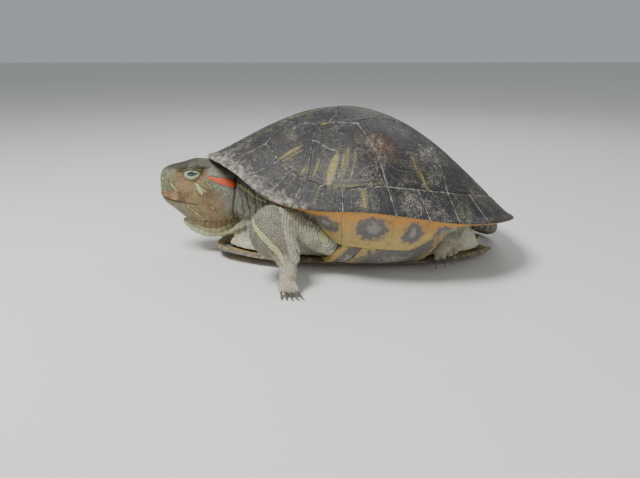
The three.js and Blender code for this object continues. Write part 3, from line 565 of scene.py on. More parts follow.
def along_chain(chain, place):
    """A smooth curve through the chain's places; place runs from 0 to the last index."""
    stack = np.stack(chain)
    last = len(chain) - 1
    i = np.minimum(place.astype(int), last - 1)
    t = (place - i)[:, None]
    n = np.arange(len(place))
    a, b = stack[i, n], stack[i + 1, n]
    before, after = stack[np.maximum(i - 1, 0), n], stack[np.minimum(i + 2, last), n]
    return cubic(a, b, (b - before) / 2, (after - a) / 2, t)


REAR_END = 109.4  # nothing of the shell reaches further back
RIM_KEEL = 3.5  # the place along the chain where the rim's edge lies


def rim_plate(name, first, last, mirrored=False):
    side = -1 if mirrored else 1

    def surface(u, v, outer):
        rim_angle = lerp(first[0], last[0], v)
        inner_angle = lerp(first[1], last[1], v)
        inset = np.degrees(SEAM / 80) * (1 - 2 * v)
        rim_angle, inner_angle = rim_angle + inset, inner_angle + inset
        place = u * 6
        chain = rim_chain(rim_angle, inner_angle)
        skin = along_chain(chain, place)
        step = (along_chain(chain, np.minimum(place + 0.05, 6))
                - along_chain(chain, np.maximum(place - 0.05, 0)))
        a = np.radians(rim_angle)
        round_way = np.stack([np.cos(a), np.sin(a), np.zeros_like(a)], -1)
        normal = unit(np.cross(step, round_way))
        length = np.radians(np.abs(last[0] - first[0])) * rim_radius(rim_angle)
        width = 26.0
        depth, ring, _ = horn_relief(skin[:, :2] * [side, 1], u, v, (width, float(length.mean())),
                                     (0.35, 0.5))
        side_edge = np.minimum(v, 1 - v) * length
        top_edge = u * width
        edge = np.minimum(side_edge, top_edge)
        near_keel = bell(place - RIM_KEEL, 0.5)
        notch = (0.5 * near_keel * np.clip(1 - side_edge / 2.2, 0, 1) ** 2
                 * smoothstep(np.abs(rim_angle), 110, 150))
        groove = seam_groove(edge)
        relief = groove + 0.4 * (depth - groove) + notch
        thick = lerp(2.6, 1.2, smoothstep(place, 2.2, 3.6))
        points = skin - normal * np.where(outer, relief * 0.8, thick)[:, None]
        points[:, 0] *= side
        # The underside's colour fades out towards the front rim, where the rim's underside keeps the dark
        # horn as painted shade.
        below = smoothstep(place, 3.25, 3.85) * smoothstep(np.abs(rim_angle), 30, 55)
        share = bridge_share(np.abs(rim_angle))
        centre = (lerp(5.0, 4.75, share), 0.62)
        spot = np.hypot((place - centre[0]) / lerp(0.5, 0.66, share), (v - centre[1]) / 0.34)
        dust = np.maximum(0.85 * bell(edge, 0.3),
                          front_dust(rim_angle, lerp(0.85, 1.0, np.minimum(place / 3, 1))))
        dust *= 1 - 0.7 * below
        points = from_shell(points)
        points[:, 1] = np.minimum(points[:, 1], REAR_END)
        return points, {"ring": ring, "edge": edge, "streak": rim_streak(name, u, v), "dust": dust,
                        "under": below, "spot": spot, "orange": 1 - smoothstep(place, 4.2, 5.2)}

    span = abs(last[0] - first[0])
    mesh = plate_mesh(surface, RIM_FACES[0], max(int(span * RIM_FACES[1]), 12), flip=mirrored)
    return finish_piece("scute_" + name, mesh, turtle_horn(), [name])


def rim_streak(name, u, v):
    """Each rim plate has a faded yellow bar across its upper face; on most it is nearly gone."""
    faded = {"5": 1.2, "6": 0.6, "4": 1.0}.get(name.rsplit("_", 1)[-1], 1.5)
    return np.abs(v - 0.45) * 16 - 1.2 + faded + 3 * smoothstep(u, 0.36, 0.5)


def plastron_half(y):
    return through(PLASTRON_WIDTH, y)


def plastron_point(share, y, rise=0.0):
    up = PLASTRON["gular_rise"] * smoothstep(-y, 55, 93) + PLASTRON["curl"] * np.abs(share) ** 5
    return np.stack([share * plastron_half(y), y, PLASTRON["middle"] + y * PLASTRON["slope"] + up + rise], -1)


def on_floor(points):
    """What would reach into the floor is worn flat at it."""
    points[:, 2] = np.maximum(points[:, 2], FLOOR_GAP)
    return points


def under_marks(ring, edge, dust, spot):
    """The attributes of a plate of the underside, which has no streaks and no orange."""
    flat = np.ones_like(edge)
    return {"ring": ring, "edge": edge, "streak": flat * NO_STREAK, "dust": dust, "under": flat, "spot": spot,
            "orange": flat * 0}


def plastron_plate(i):
    def seam(k, share):
        return lerp(PLASTRON_SEAMS[k][0], PLASTRON_SEAMS[k][1], np.abs(share))

    def surface(u, v, outer):
        share = lerp(-1, 1, u)
        share = np.where(outer, share, share * 0.93)
        y = lerp(seam(i, share) + SEAM, seam(i + 1, share) - SEAM, v)
        length = float(np.mean(seam(i + 1, share) - seam(i, share)))
        edge = np.minimum(np.minimum(v, 1 - v) * length, np.minimum(u, 1 - u) * 90)
        middle = np.abs(share) * plastron_half(y)
        edge = np.minimum(edge, middle)
        groove = seam_groove(edge)
        relief = groove + 0.12 * (1 + noise_at(np.column_stack([share * 45, y, y * 0]), 6.0, 2.0))
        points = from_shell(plastron_point(share, y, np.where(outer, relief, SHELL["plate"])))
        spot = np.hypot((np.abs(share) - 0.45) / 0.33, (v - 0.5) / 0.34)
        spot = np.minimum(spot, 1.4 - 0.6 * smoothstep(np.abs(share), 0.72, 0.95))
        return on_floor(points), under_marks(np.abs(v - 0.5) * 2, edge, 0.35 * bell(edge, 0.4), spot)

    return plate_mesh(surface, 110, 42, flip=True)


def wing_plate(name, mirrored):
    low, top = WINGS[name]
    side = -1 if mirrored else 1

    def surface(u, v, outer):
        y = lerp(top[0], top[1], v)
        angle = np.full_like(y, 90.0)
        for _ in range(8):
            reach = rim_radius(angle) - BRIDGE["inset"]
            angle = 90 + np.degrees(np.arcsin((y - SHELL["centre_y"]) / reach))
        end = rim_chain(angle, angle)[-1] - [0.35, 0, 0.25]
        start = plastron_point(np.full_like(y, 0.8), lerp(low[0], low[1], v), 0.7)
        bend = np.stack([lerp(start[:, 0], end[:, 0], 0.68), lerp(start[:, 1], end[:, 1], 0.25),
                         lerp(start[:, 2], end[:, 2], 0.06)], -1)
        t = u[:, None]
        skin = start * (1 - t) ** 2 + bend * 2 * t * (1 - t) + end * t * t
        ahead = 2 * (1 - t) * (bend - start) + 2 * t * (end - bend)
        inward = unit(np.stack([-ahead[:, 2], 0 * u, ahead[:, 0]], -1))
        edge = np.minimum(np.minimum(v, 1 - v) * 30, (1 - u) * 24)
        groove = seam_groove(edge)
        relief = groove + 0.15 * (1 + noise_at(skin, 7.0, 4.0))
        points = skin + inward * np.where(outer, relief, SHELL["plate"])[:, None]
        points[:, 0] *= side
        spot = np.hypot((u - 0.62) / 0.6, (v - (0.75 if name == "pectoral" else 0.5)) / 0.52)
        return on_floor(from_shell(points)), under_marks(u, edge, 0.45 * bell(edge, 0.3), spot)

    return plate_mesh(surface, 44, 50, flip=not mirrored)


def join_meshes(meshes):
    """Several closed meshes as one, with their attributes."""
    pieces = [bpy.data.objects.new("part", mesh) for mesh in meshes]
    for piece in pieces:
        bpy.context.collection.objects.link(piece)
    with bpy.context.temp_override(active_object=pieces[0], selected_editable_objects=pieces,
                                   object=pieces[0]):
        bpy.ops.object.join()
    mesh = pieces[0].data
    bpy.data.objects.remove(pieces[0])
    return mesh


# ---------------- flesh
SKIN_IN = 0.35  # how far the skin lies inside the flesh, which is the scales' depth
FACING_UP = (0.1, 0, 1)
SKIN_DEPTH = [(0, 42), (25, 36), (45, 22), (62, 15), (80, 14.5), (120, 15), (140, 20), (160, 28), (180, 32)]


def rounded(value, power):
    return np.sign(value) * np.abs(value) ** (2 / power)


def loft(bm, rings):
    """A closed tube through rings of body points, added to bm."""
    count, sides = rings.shape[:2]
    verts = bmesh.ops.create_grid(bm, x_segments=sides, y_segments=count - 1, size=1)["verts"]
    for vert in verts:
        i = round((vert.co.x + 1) / 2 * sides) % sides
        k = round((vert.co.y + 1) / 2 * (count - 1))
        vert.co = rings[k, i]
    bmesh.ops.remove_doubles(bm, verts=verts, dist=1e-5)
    verts = [vert for vert in verts if vert.is_valid]
    open_edges = [edge for vert in verts for edge in vert.link_edges if edge.is_boundary]
    bmesh.ops.holes_fill(bm, edges=list(set(open_edges)), sides=0)
    faces = {face for vert in verts for face in vert.link_faces}
    bmesh.ops.recalc_face_normals(bm, faces=list(faces))


def read_columns(rows, columns, place):
    rows = np.asarray(rows, float)
    index = np.arange(len(rows))
    return [through(np.stack([index, rows[:, c]], -1), place) for c in columns]


def smooth_rows(rows, steps):
    """The rows of a table, smoothly read at equal steps of their index."""
    place = np.linspace(0, len(rows) - 1, (len(rows) - 1) * steps + 1)
    return np.stack(read_columns(rows, range(len(rows[0])), place), -1)


def body_rings(rows, power, steps=3, sides=48):
    turns = np.linspace(0, 2 * math.pi, sides, endpoint=False)
    rings = []
    rows = smooth_rows(rows, steps)
    for k, (y, top, bottom, half) in enumerate(rows):
        end = SKIN_IN if k == 0 else 0
        half = max(half - SKIN_IN, 0.4)
        high = max((top - bottom) / 2 - SKIN_IN, 0.4)
        x = rounded(np.sin(turns), power) * half
        z = (top + bottom) / 2 + rounded(np.cos(turns), power) * high
        rings.append(np.stack([x, np.full(sides, y + end), z], -1))
    return np.array(rings)


def sweep_path(rows, share):
    """The centripetal curve through the rows' centres: its places and its directions."""
    points = np.asarray(rows, float)[:, :3]
    ends = [2 * points[0] - points[1], *points, 2 * points[-1] - points[-2]]
    points = np.array(ends)
    place = np.clip(share, 0, 1) * (len(points) - 3)
    i = np.minimum(place.astype(int), len(points) - 4)
    t = (place - i)[:, None]
    p0, p1, p2, p3 = (points[i + k] for k in range(4))
    d0, d1, d2 = (np.sqrt(np.linalg.norm(b - a, axis=1))[:, None] for a, b in ((p0, p1), (p1, p2), (p2, p3)))
    m1 = ((p1 - p0) / d0 - (p2 - p0) / (d0 + d1) + (p2 - p1) / d1) * d1
    m2 = ((p2 - p1) / d1 - (p3 - p1) / (d1 + d2) + (p3 - p2) / d2) * d1
    c2, c3 = -3 * p1 + 3 * p2 - 2 * m1 - m2, 2 * p1 - 2 * p2 + m1 + m2
    return p1 + m1 * t + c2 * t * t + c3 * t ** 3, unit(m1 + 2 * c2 * t + 3 * c3 * t * t)


def sweep_frame(rows, facing, share):
    """Places along a limb, its directions, the two axes across it and its half sizes."""
    centre, ahead = sweep_path(rows, share)
    across = unit(np.cross(np.asarray(facing, float), ahead))
    out = np.cross(ahead, across)
    half, thick = read_columns(rows, (3, 4), share * (len(rows) - 1))
    return centre, ahead, across, out, half, thick


def limb_rings(rows, facing, sides=28, steps=6):
    share = np.linspace(0, 1, (len(rows) - 1) * steps + 1)
    centre, ahead, across, out, half, thick = sweep_frame(rows, facing, share)
    half, thick = np.maximum(half - SKIN_IN, 0.3), np.maximum(thick - SKIN_IN, 0.3)
    turns = np.linspace(0, 2 * math.pi, sides, endpoint=False)
    cos, sin = np.cos(turns)[None, :, None], np.sin(turns)[None, :, None]
    rings = (centre[:, None] + across[:, None] * cos * half[:, None, None]
             + out[:, None] * sin * thick[:, None, None])
    rings[0] += ahead[0] * SKIN_IN
    rings[-1] -= ahead[-1] * SKIN_IN
    return rings


def foot_frame(foot):
    start = np.array(foot["from"], float)
    ahead = np.array(foot["to"], float) - start
    reach = np.linalg.norm(ahead)
    ahead = ahead / reach
    across = unit(np.cross(np.array(foot["facing"], float), ahead))
    return start, ahead, reach, across, np.cross(ahead, across)


def foot_parts(foot):
    """Rows for the palm and for each toe and each claw of a foot."""
    start, ahead, reach, across, up = foot_frame(foot)
    palm = [[*(start + ahead * at * reach), foot["half"] * wide, foot["thick"] * thick]
            for at, wide, thick in ((-0.35, 0.98, 1), (0, 1, 1), (0.5, 1.05, 0.85), (1, 0.85, 0.5))]
    toes, claws = [], []
    for i in range(foot["toes"]):
        place = i / (foot["toes"] - 1) - 0.5
        turned = place * foot["spread"] + foot["lean"]
        aim = ahead * math.cos(turned) + across * math.sin(turned)
        root = start + ahead * reach * 0.78 + across * place * foot["half"] * 1.5
        length = foot["toe"] * (1 - 0.6 * place * place)
        knuckle = root + aim * length * 0.6 + up * 0.4
        tip = root + aim * length
        tip[2] = max(tip[2], TOE["lowest"])
        toes.append([[*root, TOE["side"], TOE["back"]], [*knuckle, TOE["side"], TOE["back"]],
                     [*tip, TOE["tip"], TOE["tip"]]])
        bend = tip + aim * foot["claw"] * 0.45 + up * CLAW["arch"]
        point = tip + aim * foot["claw"]
        point[2] = max(point[2] - CLAW["droop"] * foot["claw"], CLAW["lowest"])
        claws.append([[*(tip - aim), CLAW["side"], CLAW["back"]],
                      [*bend, CLAW["side"] * 0.75, CLAW["back"] * 0.8], [*point, CLAW["tip"], CLAW["tip"]]])
    return palm, toes, claws, up


def plastron_top(angle, share):
    """Just above the plastron's inner face, where the body's underside lies."""
    front, rear, side = -86, 84, 5.5
    s, c = np.sin(np.radians(angle)), -np.cos(np.radians(angle))
    end = np.where(np.abs(c) < 1e-3, 1e3, np.where(c > 0, rear, front) / np.where(np.abs(c) < 1e-3, 1, c))
    reach = np.full_like(s, 30.0)
    for _ in range(20):
        half = plastron_half(c * reach) - side
        reach = lerp(reach, np.minimum(half / np.maximum(np.abs(s), 1e-3), end), 0.4)
    points = plastron_point(0 * s, c * reach * share, SHELL["plate"] + 0.6 + (1.2 if share > 0.9 else 0))
    points[:, 0] = s * reach * share
    return from_shell(points)


def trunk_rings(sides=72):
    angle = np.linspace(-180, 180, sides, endpoint=False)
    skin = rim_radius(angle) - around_shell(SKIN_DEPTH, angle)
    rings = []
    for share in (0.05, 0.3, 0.55, 0.72):
        plan = plan_point(angle, np.minimum(share * rim_radius(angle), skin))
        hidden = 20 * (1 - share) * (share < 0.7)
        rings.append(from_shell(dome_point(plan, np.full(sides, SHELL["plate"] + 0.9 + hidden))))
    for bulge, drop, nearness in ((0, -3, 0), (1, 5, 0.08), (4, 6, 0.42), (3, 6, 0.78)):
        plan = plan_point(angle, skin + bulge * (1 - bridge_share(np.abs(angle))))
        high = from_shell(np.column_stack([plan, rim_height(angle) - drop]))
        rings.append(lerp(high, plastron_top(angle, 0.97), nearness))
    rings += [plastron_top(angle, share) for share in (0.97, 0.5, 0.05)]
    return np.array(rings)


# Loose skin between the arm and the bridge, as a row of places along it.
POCKET = [(40, -38, 33, 7, 7), (47.5, -27, 29, 10, 9), (48, -13, 22, 10, 9.5), (43, -2, 15, 8, 8)]
POCKET_OVAL = {"middle": (-14.6, 26.0), "along": (0.45, -0.89), "long": 4.4, "wide": 2.6}
ARM_ARCS = (-49.2, 41.8)  # where the arcs of the upper arm are centred, in (y, z)


def skin_lofts():
    """Every part of the flesh as closed lofts in one mesh, overlapping freely."""
    bm = bmesh.new()
    for rows, power in ((HEAD, 2.3), (NECK, 2.1), (THROAT_FOLD, 2.0)):
        loft(bm, body_rings(rows, power))
    for rows in LIMBS.values():
        loft(bm, limb_rings(rows, FACING_UP))
    for side in (-1, 1):
        loft(bm, limb_rings([(side * x, y, z, half, thick) for x, y, z, half, thick in POCKET], FACING_UP))
    for foot in FEET.values():
        palm, toes, _, up = foot_parts(foot)
        loft(bm, limb_rings(palm, up))
        for toe in toes:
            loft(bm, limb_rings(toe, up, sides=14, steps=4))
    loft(bm, trunk_rings())
    mesh = made_mesh(bm, "lofts")
    set_points(mesh, read_vectors(mesh.vertices))
    return mesh


def through_modifiers(mesh, *modifiers):
    """The mesh after a list of (kind, settings), applied."""
    piece = bpy.data.objects.new("work", mesh)
    bpy.context.collection.objects.link(piece)
    for kind, settings in modifiers:
        modifier = piece.modifiers.new(kind, kind)
        for key, value in settings.items():
            setattr(modifier, key, value)
    graph = bpy.context.evaluated_depsgraph_get()
    made = bpy.data.meshes.new_from_object(piece.evaluated_get(graph))
    bpy.data.objects.remove(piece)
    return made


def split_faces(mesh, chosen):
    """Splits the faces whose points are all chosen into four."""
    bm = bmesh.new()
    bm.from_mesh(mesh)
    bm.verts.ensure_lookup_table()
    keep = {vert for vert in bm.verts if chosen[vert.index]}
    edges = [edge for edge in bm.edges if edge.verts[0] in keep and edge.verts[1] in keep]
    bmesh.ops.subdivide_edges(bm, edges=edges, cuts=1, use_grid_fill=True, smooth=0.6)
    bm.to_mesh(mesh)
    bm.free()
    mesh.update()


LID = 6.6  # distance of the lids from the middle of the eyeball


def eye_frame(side):
    mirror = np.array([side, 1, 1])
    gaze = unit(EYE["gaze"]) * mirror
    length = np.array(EYE["along"]) * mirror
    length = unit(length - gaze * (length @ gaze))
    return np.array(EYE["at"]) * mirror, gaze, length, unit(np.cross(gaze, length)) * side


def eye_place(points, side):
    """How far a point lies from the eye's opening: under 1 inside it; with the height over the bar's line."""
    centre, gaze, length, height = eye_frame(side)
    rel = points - centre
    seen = unit(rel) * LID
    a, b = seen @ length, seen @ height
    e = (np.abs(a) / EYE_OPENING[0]) ** 1.7 + (np.sqrt(b * b + 0.09) / EYE_OPENING[1]) ** 1.5
    front = (seen @ gaze > 0.25) & (np.linalg.norm(rel, axis=1) < 13)
    return np.where(front, e, FAR), b, rel


def open_eyes(points):
    """Pushes the skin under the eyeball inside the opening and raises a lid round it."""
    points = points.copy()
    for side in (-1, 1):
        e, b, rel = eye_place(points, side)
        centre = eye_frame(side)[0]
        reach = np.linalg.norm(rel, axis=1)
        lid = LID + 0.15 * smoothstep(b, -0.5, 0.5)
        weight = 1 - smoothstep(e, 1.2, 2.7)
        target = lerp(5.4, lid, smoothstep(e, 0.9, 1.08))
        near = e < 2.8
        moved = centre + rel * (target / np.maximum(reach, 1e-6))[:, None]
        points[near] = lerp(points, moved, weight[:, None])[near]
        out = unit(rel)
        short = (e >= 1.05) & (np.linalg.norm(points - centre, axis=1) < LID - 0.1) & (reach > 3)
        points[short] = (centre + out * (LID - 0.1))[short]
        # A fold of skin runs round the lid.
        fold = bell(e - 1.55, 0.14) * 0.3
        points -= out * np.where(near | (e < 5), fold, 0)[:, None]
    return points


def head_relief(points, normals):
    """Mouth, beak, nostrils, crease, neck folds and wrinkles, as moves along the skin's normal."""
    x, y, z = points.T
    side_on = np.abs(x)
    move = np.zeros(len(points))
    head = (y < -68) & (z > 14) & (side_on < 22)
    mouth_z = np.interp(y, *np.array(MOUTH_LINE).T)
    in_mouth = head & (y < -92.5)
    ends = 1 - smoothstep(y, -96.5, -92.5)
    gap = z - mouth_z
    move -= np.where(in_mouth, 1.1 * bell(gap, 0.42) * ends, 0)
    beak = np.where(in_mouth, np.clip(gap, 0, None), 9)
    move += 0.55 * bell(beak - 1.1, 1.0) * (1 - smoothstep(y, -112, -100)) * (beak < 9)
    for side in (-1, 1):
        nostril = np.linalg.norm(points - [1.7 * side, -119.6, 51.5], axis=1)
        move -= 0.9 * bell(nostril, 0.75)
        move += 0.2 * bell(nostril - 1.5, 0.5)
        orbit = np.linalg.norm(points - [13.5 * side, -98, 61.5], axis=1)
        move += 0.5 * bell(orbit, 4)
    crease = np.abs(y - np.interp(z, *np.array(CREASE_LINE).T))
    wobble = noise_at(points, 6.0, 3.0)
    move -= np.where(side_on < 22, 1.3 * bell(crease + 0.2 * wobble, 0.6), 0) * (z > 24) * (z < 56)
    neck = smoothstep(y, -68.5, -64) * (side_on < 26) * (z > 12)
    fold_at = (y + 1.6 * wobble + 0.10 * (z - 40)) / 4.4
    move -= 0.75 * neck * bell(fold_at - np.round(fold_at), 0.13)
    bag = smoothstep(26 - z, 0, 3) * smoothstep(y, -106, -98) * (1 - smoothstep(y, -66, -58)) * (side_on < 21)
    bag_at = (y - 0.25 * side_on + 1.2 * wobble) / 3.6
    move -= 0.45 * bag * bell(bag_at - np.round(bag_at), 0.14)
    under_jaw = bell(z - 23.4, 1.1) * (y > -104) * (y < -72) * (side_on < 20)
    move -= 0.8 * under_jaw
    body = smoothstep(y, -60, -50)
    move += 0.45 * body * noise_at(points, 5.0, 9.0) + 0.2 * body * noise_at(points, 2.4, 1.0)
    move += 0.10 * noise_at(points, 2.0, 6.0)
    return points + normals * move[:, None]


# Marks of the flesh. Strokes are (line, half widths along it). The head's lie in (y, z), on both sides.
HEAD_PALE = [
    ([(-96.2, 48.9), (-93.1, 46), (-90.5, 41)], (0.3, 1.5, 0.4)),
    ([(-93.5, 48.6), (-88.7, 43.4), (-86, 40)], (0.1, 0.25, 0)),
    ([(-91.9, 50.8), (-84.6, 46.2), (-78.5, 40.9)], (0, 0.2, 0)),
    ([(-87.5, 50.1), (-78.3, 44.8), (-73.4, 40.2)], (0, 0.2, 0.1)),
    ([(-113.6, 51.4), (-111.3, 47.4), (-108.9, 44.8), (-106.1, 41.4)], (0, 0.35, 0.2, 0)),
    ([(-101.8, 33.7), (-95, 28.3), (-88.9, 21.8)], (0.2, 0.5, 0.2)),
    ([(-87.1, 35.7), (-84.6, 33), (-82.2, 31)], (0, 0.3, 0)),
    ([(-108, 31), (-102, 28), (-96, 23.5)], (0, 0.1, 0)),
    ([(-69, 48.5), (-63.4, 45.2), (-59.1, 41.9), (-50, 38)], (0.8, 1.2, 1.0, 0.6)),
    ([(-68, 37), (-60, 33), (-50, 30)], (0, 0.2, 0.1)),
    ([(-67, 28), (-58, 25), (-48, 23)], (0, 0.3, 0.1)),
    ([(-70, 53), (-60, 51.5), (-48, 51)], (0, 0.1, 0.1)),
]
SNOUT_PALE = [([(7, 53.6), (7, 47.7), (6.6, 42.4)], (0.1, 0.4, 0.1)),
              ([(2.6, 49), (3, 45.5), (3, 42)], (0, 0.1, 0))]
HEAD_RED = [([(-88.2, 52.9), (-85, 52.2), (-81.8, 51.2), (-76, 49.8), (-71, 48.2)],
             (0.3, 1.0, 1.5, 2.0, 1.9))]
ARM_PALE = [([(-57, 39), (-52.2, 34), (-45.5, 28.6), (-39.8, 23.1), (-37, 17)], (0.8, 1.7, 1.9, 1.7, 0.8))]
SKIN_TINTS = {
    # crown: the crown's own dark brown, darkened further as painted shade under the shell's rim
    "crown": (0.040, 0.036, 0.024), "cheek": (0.20, 0.125, 0.060), "beak": (0.29, 0.165, 0.080),
    "olive": (0.20, 0.19, 0.075), "snout": (0.13, 0.155, 0.095),
    "jaw": (0.20, 0.185, 0.105), "fold": (0.48, 0.46, 0.27), "neck": (0.21, 0.215, 0.175),
    "left_foreleg": (0.165, 0.17, 0.125), "right_foreleg": (0.15, 0.155, 0.115),
    # The hind legs' tints are a little darker than the near foreleg's: painted shade under the shell.
    "left_hind_leg": (0.15, 0.15, 0.115), "right_hind_leg": (0.15, 0.155, 0.115), "tail": (0.15, 0.15, 0.11),
    "trunk": (0.47, 0.46, 0.35), "forearm": (0.20, 0.13, 0.09), "hand": (0.40, 0.35, 0.27),
}
AXES = {
    "head": ([(0, -116, 43), (0, -96, 38), (0, -78, 33)], 17.0),
    "neck": ([(0, -68, 38), (0, -40, 35)], 19.0),
    "fold": ([(0, -103, 17), (0, -58, 17)], 12.5),
}


def strokes(points, table):
    """Distance past the edge of the nearest stroke; negative inside it."""
    return np.minimum.reduce([distance_to_line(points, line, halves, FAR) for line, halves in table])


def limb_place(name, points):
    """Where points lie on a limb: share along it, millimetres round it, and distance over its radius."""
    rows = LIMBS[name]
    share = np.linspace(0, 1, 60)
    centre, ahead, across, out, half, thick = sweep_frame(rows, FACING_UP, share)
    best, index = np.full(len(points), 1e9), np.zeros(len(points), int)
    for k in range(len(share)):
        away = np.linalg.norm(points - centre[k], axis=1)
        closer = away < best
        best[closer], index[closer] = away[closer], k
    rel = points - centre[index]
    turned = np.arctan2(np.einsum("ij,ij->i", rel, across[index]), np.einsum("ij,ij->i", rel, out[index]))
    along_by = np.einsum("ij,ij->i", rel, ahead[index])
    length = np.linalg.norm(np.diff(centre, axis=0), axis=1).sum()
    radius = (half[index] + thick[index]) / 2
    return share[index] + along_by / length, turned * radius, best / radius


def region_weights(points):
    """Each region's share of a point, the points' places on each limb, and the share of the loose pocket."""
    x, y, z = points.T
    near = {}
    for name, (line, radius) in AXES.items():
        near[name] = distance_to_line(points, line) / radius
    fold_top = np.interp(y, [row[0] for row in THROAT_FOLD], [row[1] for row in THROAT_FOLD])
    near["fold"] = near["fold"] + np.where((z > fold_top + 0.6) & (y < -68), 1.0, 0)
    near["trunk"] = lerp(1.6, 1.16, smoothstep(np.abs(x) + 2 * noise_at(points, 7.0, 5.0), 18, 34))
    places = {}
    for name in LIMBS:
        places[name] = limb_place(name, points)
        near[name] = places[name][2]
    weights = {name: np.exp(-14 * value) for name, value in near.items()}
    total = sum(weights.values())
    weights = {name: value / total for name, value in weights.items()}
    pocket = smoothstep(y - (-30 - 0.3 * (z - 10)), -0.6, 0.6) * (np.abs(x) > 30) * (y < 14)
    for name in weights:
        weights[name] = weights[name] * (1 - pocket) + (pocket if name == "trunk" else 0)
    return weights, places, pocket


def head_tint(points, mottle, tints):
    """The head's colours, from its crown down to the jaw, and the crown's share; the crown's dark brown is
    deepened with painted shade from the rim above it.
    """
    _, y, z = points.T
    # The top of the head darkens towards the crown tint: its own dark brown plus painted shade from the rim.
    crown = smoothstep(z + 2 * mottle, 54.5, 58.5)[:, None]
    front = (1 - smoothstep(y + 2 * mottle, -112, -104))[:, None]
    low = (1 - smoothstep(z + 1.2 * mottle, 34, 37.5)) * (1 - smoothstep(y + 3 * mottle, -104, -96))
    low = low[:, None]
    mouth_z = np.interp(y, *np.array(MOUTH_LINE).T)
    beak = ((1 - smoothstep(z, 41.5, 45)) * smoothstep(z, mouth_z - 0.4, mouth_z + 0.2)
            * (1 - smoothstep(y, -104, -98)))[:, None]
    back = smoothstep(y + mottle, -90, -82)[:, None] * smoothstep(z + mottle, 43, 49)[:, None]
    head = lerp(tints["cheek"], tints["neck"] * 0.72, back)
    head = lerp(head, tints["crown"] * 1.6, front * 0.7)
    olive = smoothstep(noise_at(points, 7.0, 12.0, 2), -0.1, 0.35)[:, None]
    head = lerp(head, tints["olive"], 0.6 * olive * (1 - back))
    head = lerp(head, tints["snout"], 0.75 * (1 - smoothstep(y + 2.5 * mottle, -115, -106))[:, None]
                * (1 - low))
    head = lerp(head, tints["crown"], crown)
    head = lerp(head, tints["jaw"], low)
    return lerp(head, tints["beak"] * (0.8 + 0.5 * mottle[:, None]), beak), crown


def body_tint(points, mottle, tints, weights, places, head):
    """The head's colours and each other region's, blended by their weights, with paler hands and feet; the
    hind feet's tint is dimmed as painted shade under the shell.
    """
    tint = head * weights["head"][:, None]
    for name, weight in weights.items():
        if name == "head":
            continue
        here = np.broadcast_to(tints[name], (len(points), 3))
        if name in ("left_foreleg", "right_foreleg"):
            share, round_by, _ = places[name]
            lower = smoothstep(share + 0.12 * mottle, 0.5, 0.85)[:, None]
            hand = smoothstep(share + 0.1 * mottle, 0.8, 1.05)[:, None]
            inner = (1 - smoothstep(round_by + 5 * mottle, -6, 10))[:, None]
            here = lerp(here, lerp(tints["forearm"], tints["hand"], 1 - inner), lower * 0.85)
            here = lerp(here, tints["hand"], hand)
        tint = tint + here * weight[:, None]
    for foot, spec in FEET.items():
        start, ahead, _, _, _ = foot_frame(spec)
        rel = points - start
        on_foot = smoothstep(rel @ ahead, -4, 3) * (np.linalg.norm(rel, axis=1) < 32)
        # Hind feet get the hand tint at 0.7: painted shade under the shell's rear.
        hand_tint = tints["hand"] if "fore" in foot else tints["hand"] * 0.7
        tint = lerp(tint, hand_tint, on_foot[:, None])
    return tint


def paint(points):
    """The marks of the flesh at body points, which its scales carry too."""
    x, y, z = points.T
    side_view, front_view = np.stack([y, z], -1), np.stack([np.abs(x), z], -1)
    weights, places, pocket = region_weights(points)
    mottle = noise_at(points, 5.0, 2.0, 3)
    fine = noise_at(points, 1.7, 7.0, 2)
    tints = {key: np.array(value) for key, value in SKIN_TINTS.items()}
    head, crown = head_tint(points, mottle, tints)
    tint = body_tint(points, mottle, tints, weights, places, head)
    # An old pocket of loose skin before the bridge: a pale oval with dark swirls round it.
    middle, way = np.array(POCKET_OVAL["middle"]), np.array(POCKET_OVAL["along"])
    rel = side_view - middle
    by_long, by_wide = rel @ way, rel @ np.array([-way[1], way[0]])
    oval = np.hypot(by_long / POCKET_OVAL["long"], by_wide / POCKET_OVAL["wide"])
    tint = tint * (1 + 0.28 * mottle + 0.16 * fine)[:, None]
    in_head = weights["head"] + weights["neck"]
    pale = np.where(in_head > 0.4, strokes(side_view, HEAD_PALE), FAR)
    pale = np.minimum(pale, np.where((y < -112) & (z > 40), strokes(front_view, SNOUT_PALE), FAR))
    on_arm = weights["left_foreleg"] + weights["right_foreleg"] > 0.4
    pale = np.minimum(pale, np.where(on_arm & (np.abs(x) > 50), strokes(side_view, ARM_PALE), FAR))
    pale = np.minimum(pale, np.where(pocket > 0.4, (oval - 1) * 2.6, FAR))
    red = np.where(in_head > 0.4, strokes(side_view, HEAD_RED), FAR)
    # Fine dark lines: how strong they are, and a coordinate in millimetres across them.
    cheek = in_head * smoothstep(y, -97, -90) * (1 - smoothstep(z, 50, 53)) * smoothstep(z, 35, 40)
    across = (y + 96) * 0.59 + z * 0.80
    lined = 0.8 * cheek
    bag = weights["fold"] * (z < 25)
    across = np.where(bag > 0.4, y + 0.3 * np.abs(x), across)
    lined = np.where(bag > 0.4, 0.4, lined)
    across = np.where(pocket > 0.4, oval * 3.0, across)
    lined = np.where(pocket > 0.4, 0.9 * smoothstep(oval, 1.1, 1.4), lined)
    arcs = np.linalg.norm(side_view - np.array(ARM_ARCS), axis=1)
    across = np.where(on_arm & (pocket < 0.4), arcs, across)
    lined = np.where(on_arm & (pocket < 0.4), 0.7 * (1 - smoothstep(arcs, 20, 30)), lined)
    specks = 0.4 * weights["head"] * (1 - crown[:, 0]) + 0.25 * (1 - weights["head"])
    return {"tint": np.clip(tint, 0.005, 0.8), "specks": specks, "pale": pale, "red": red, "across": across,
            "lined": lined}


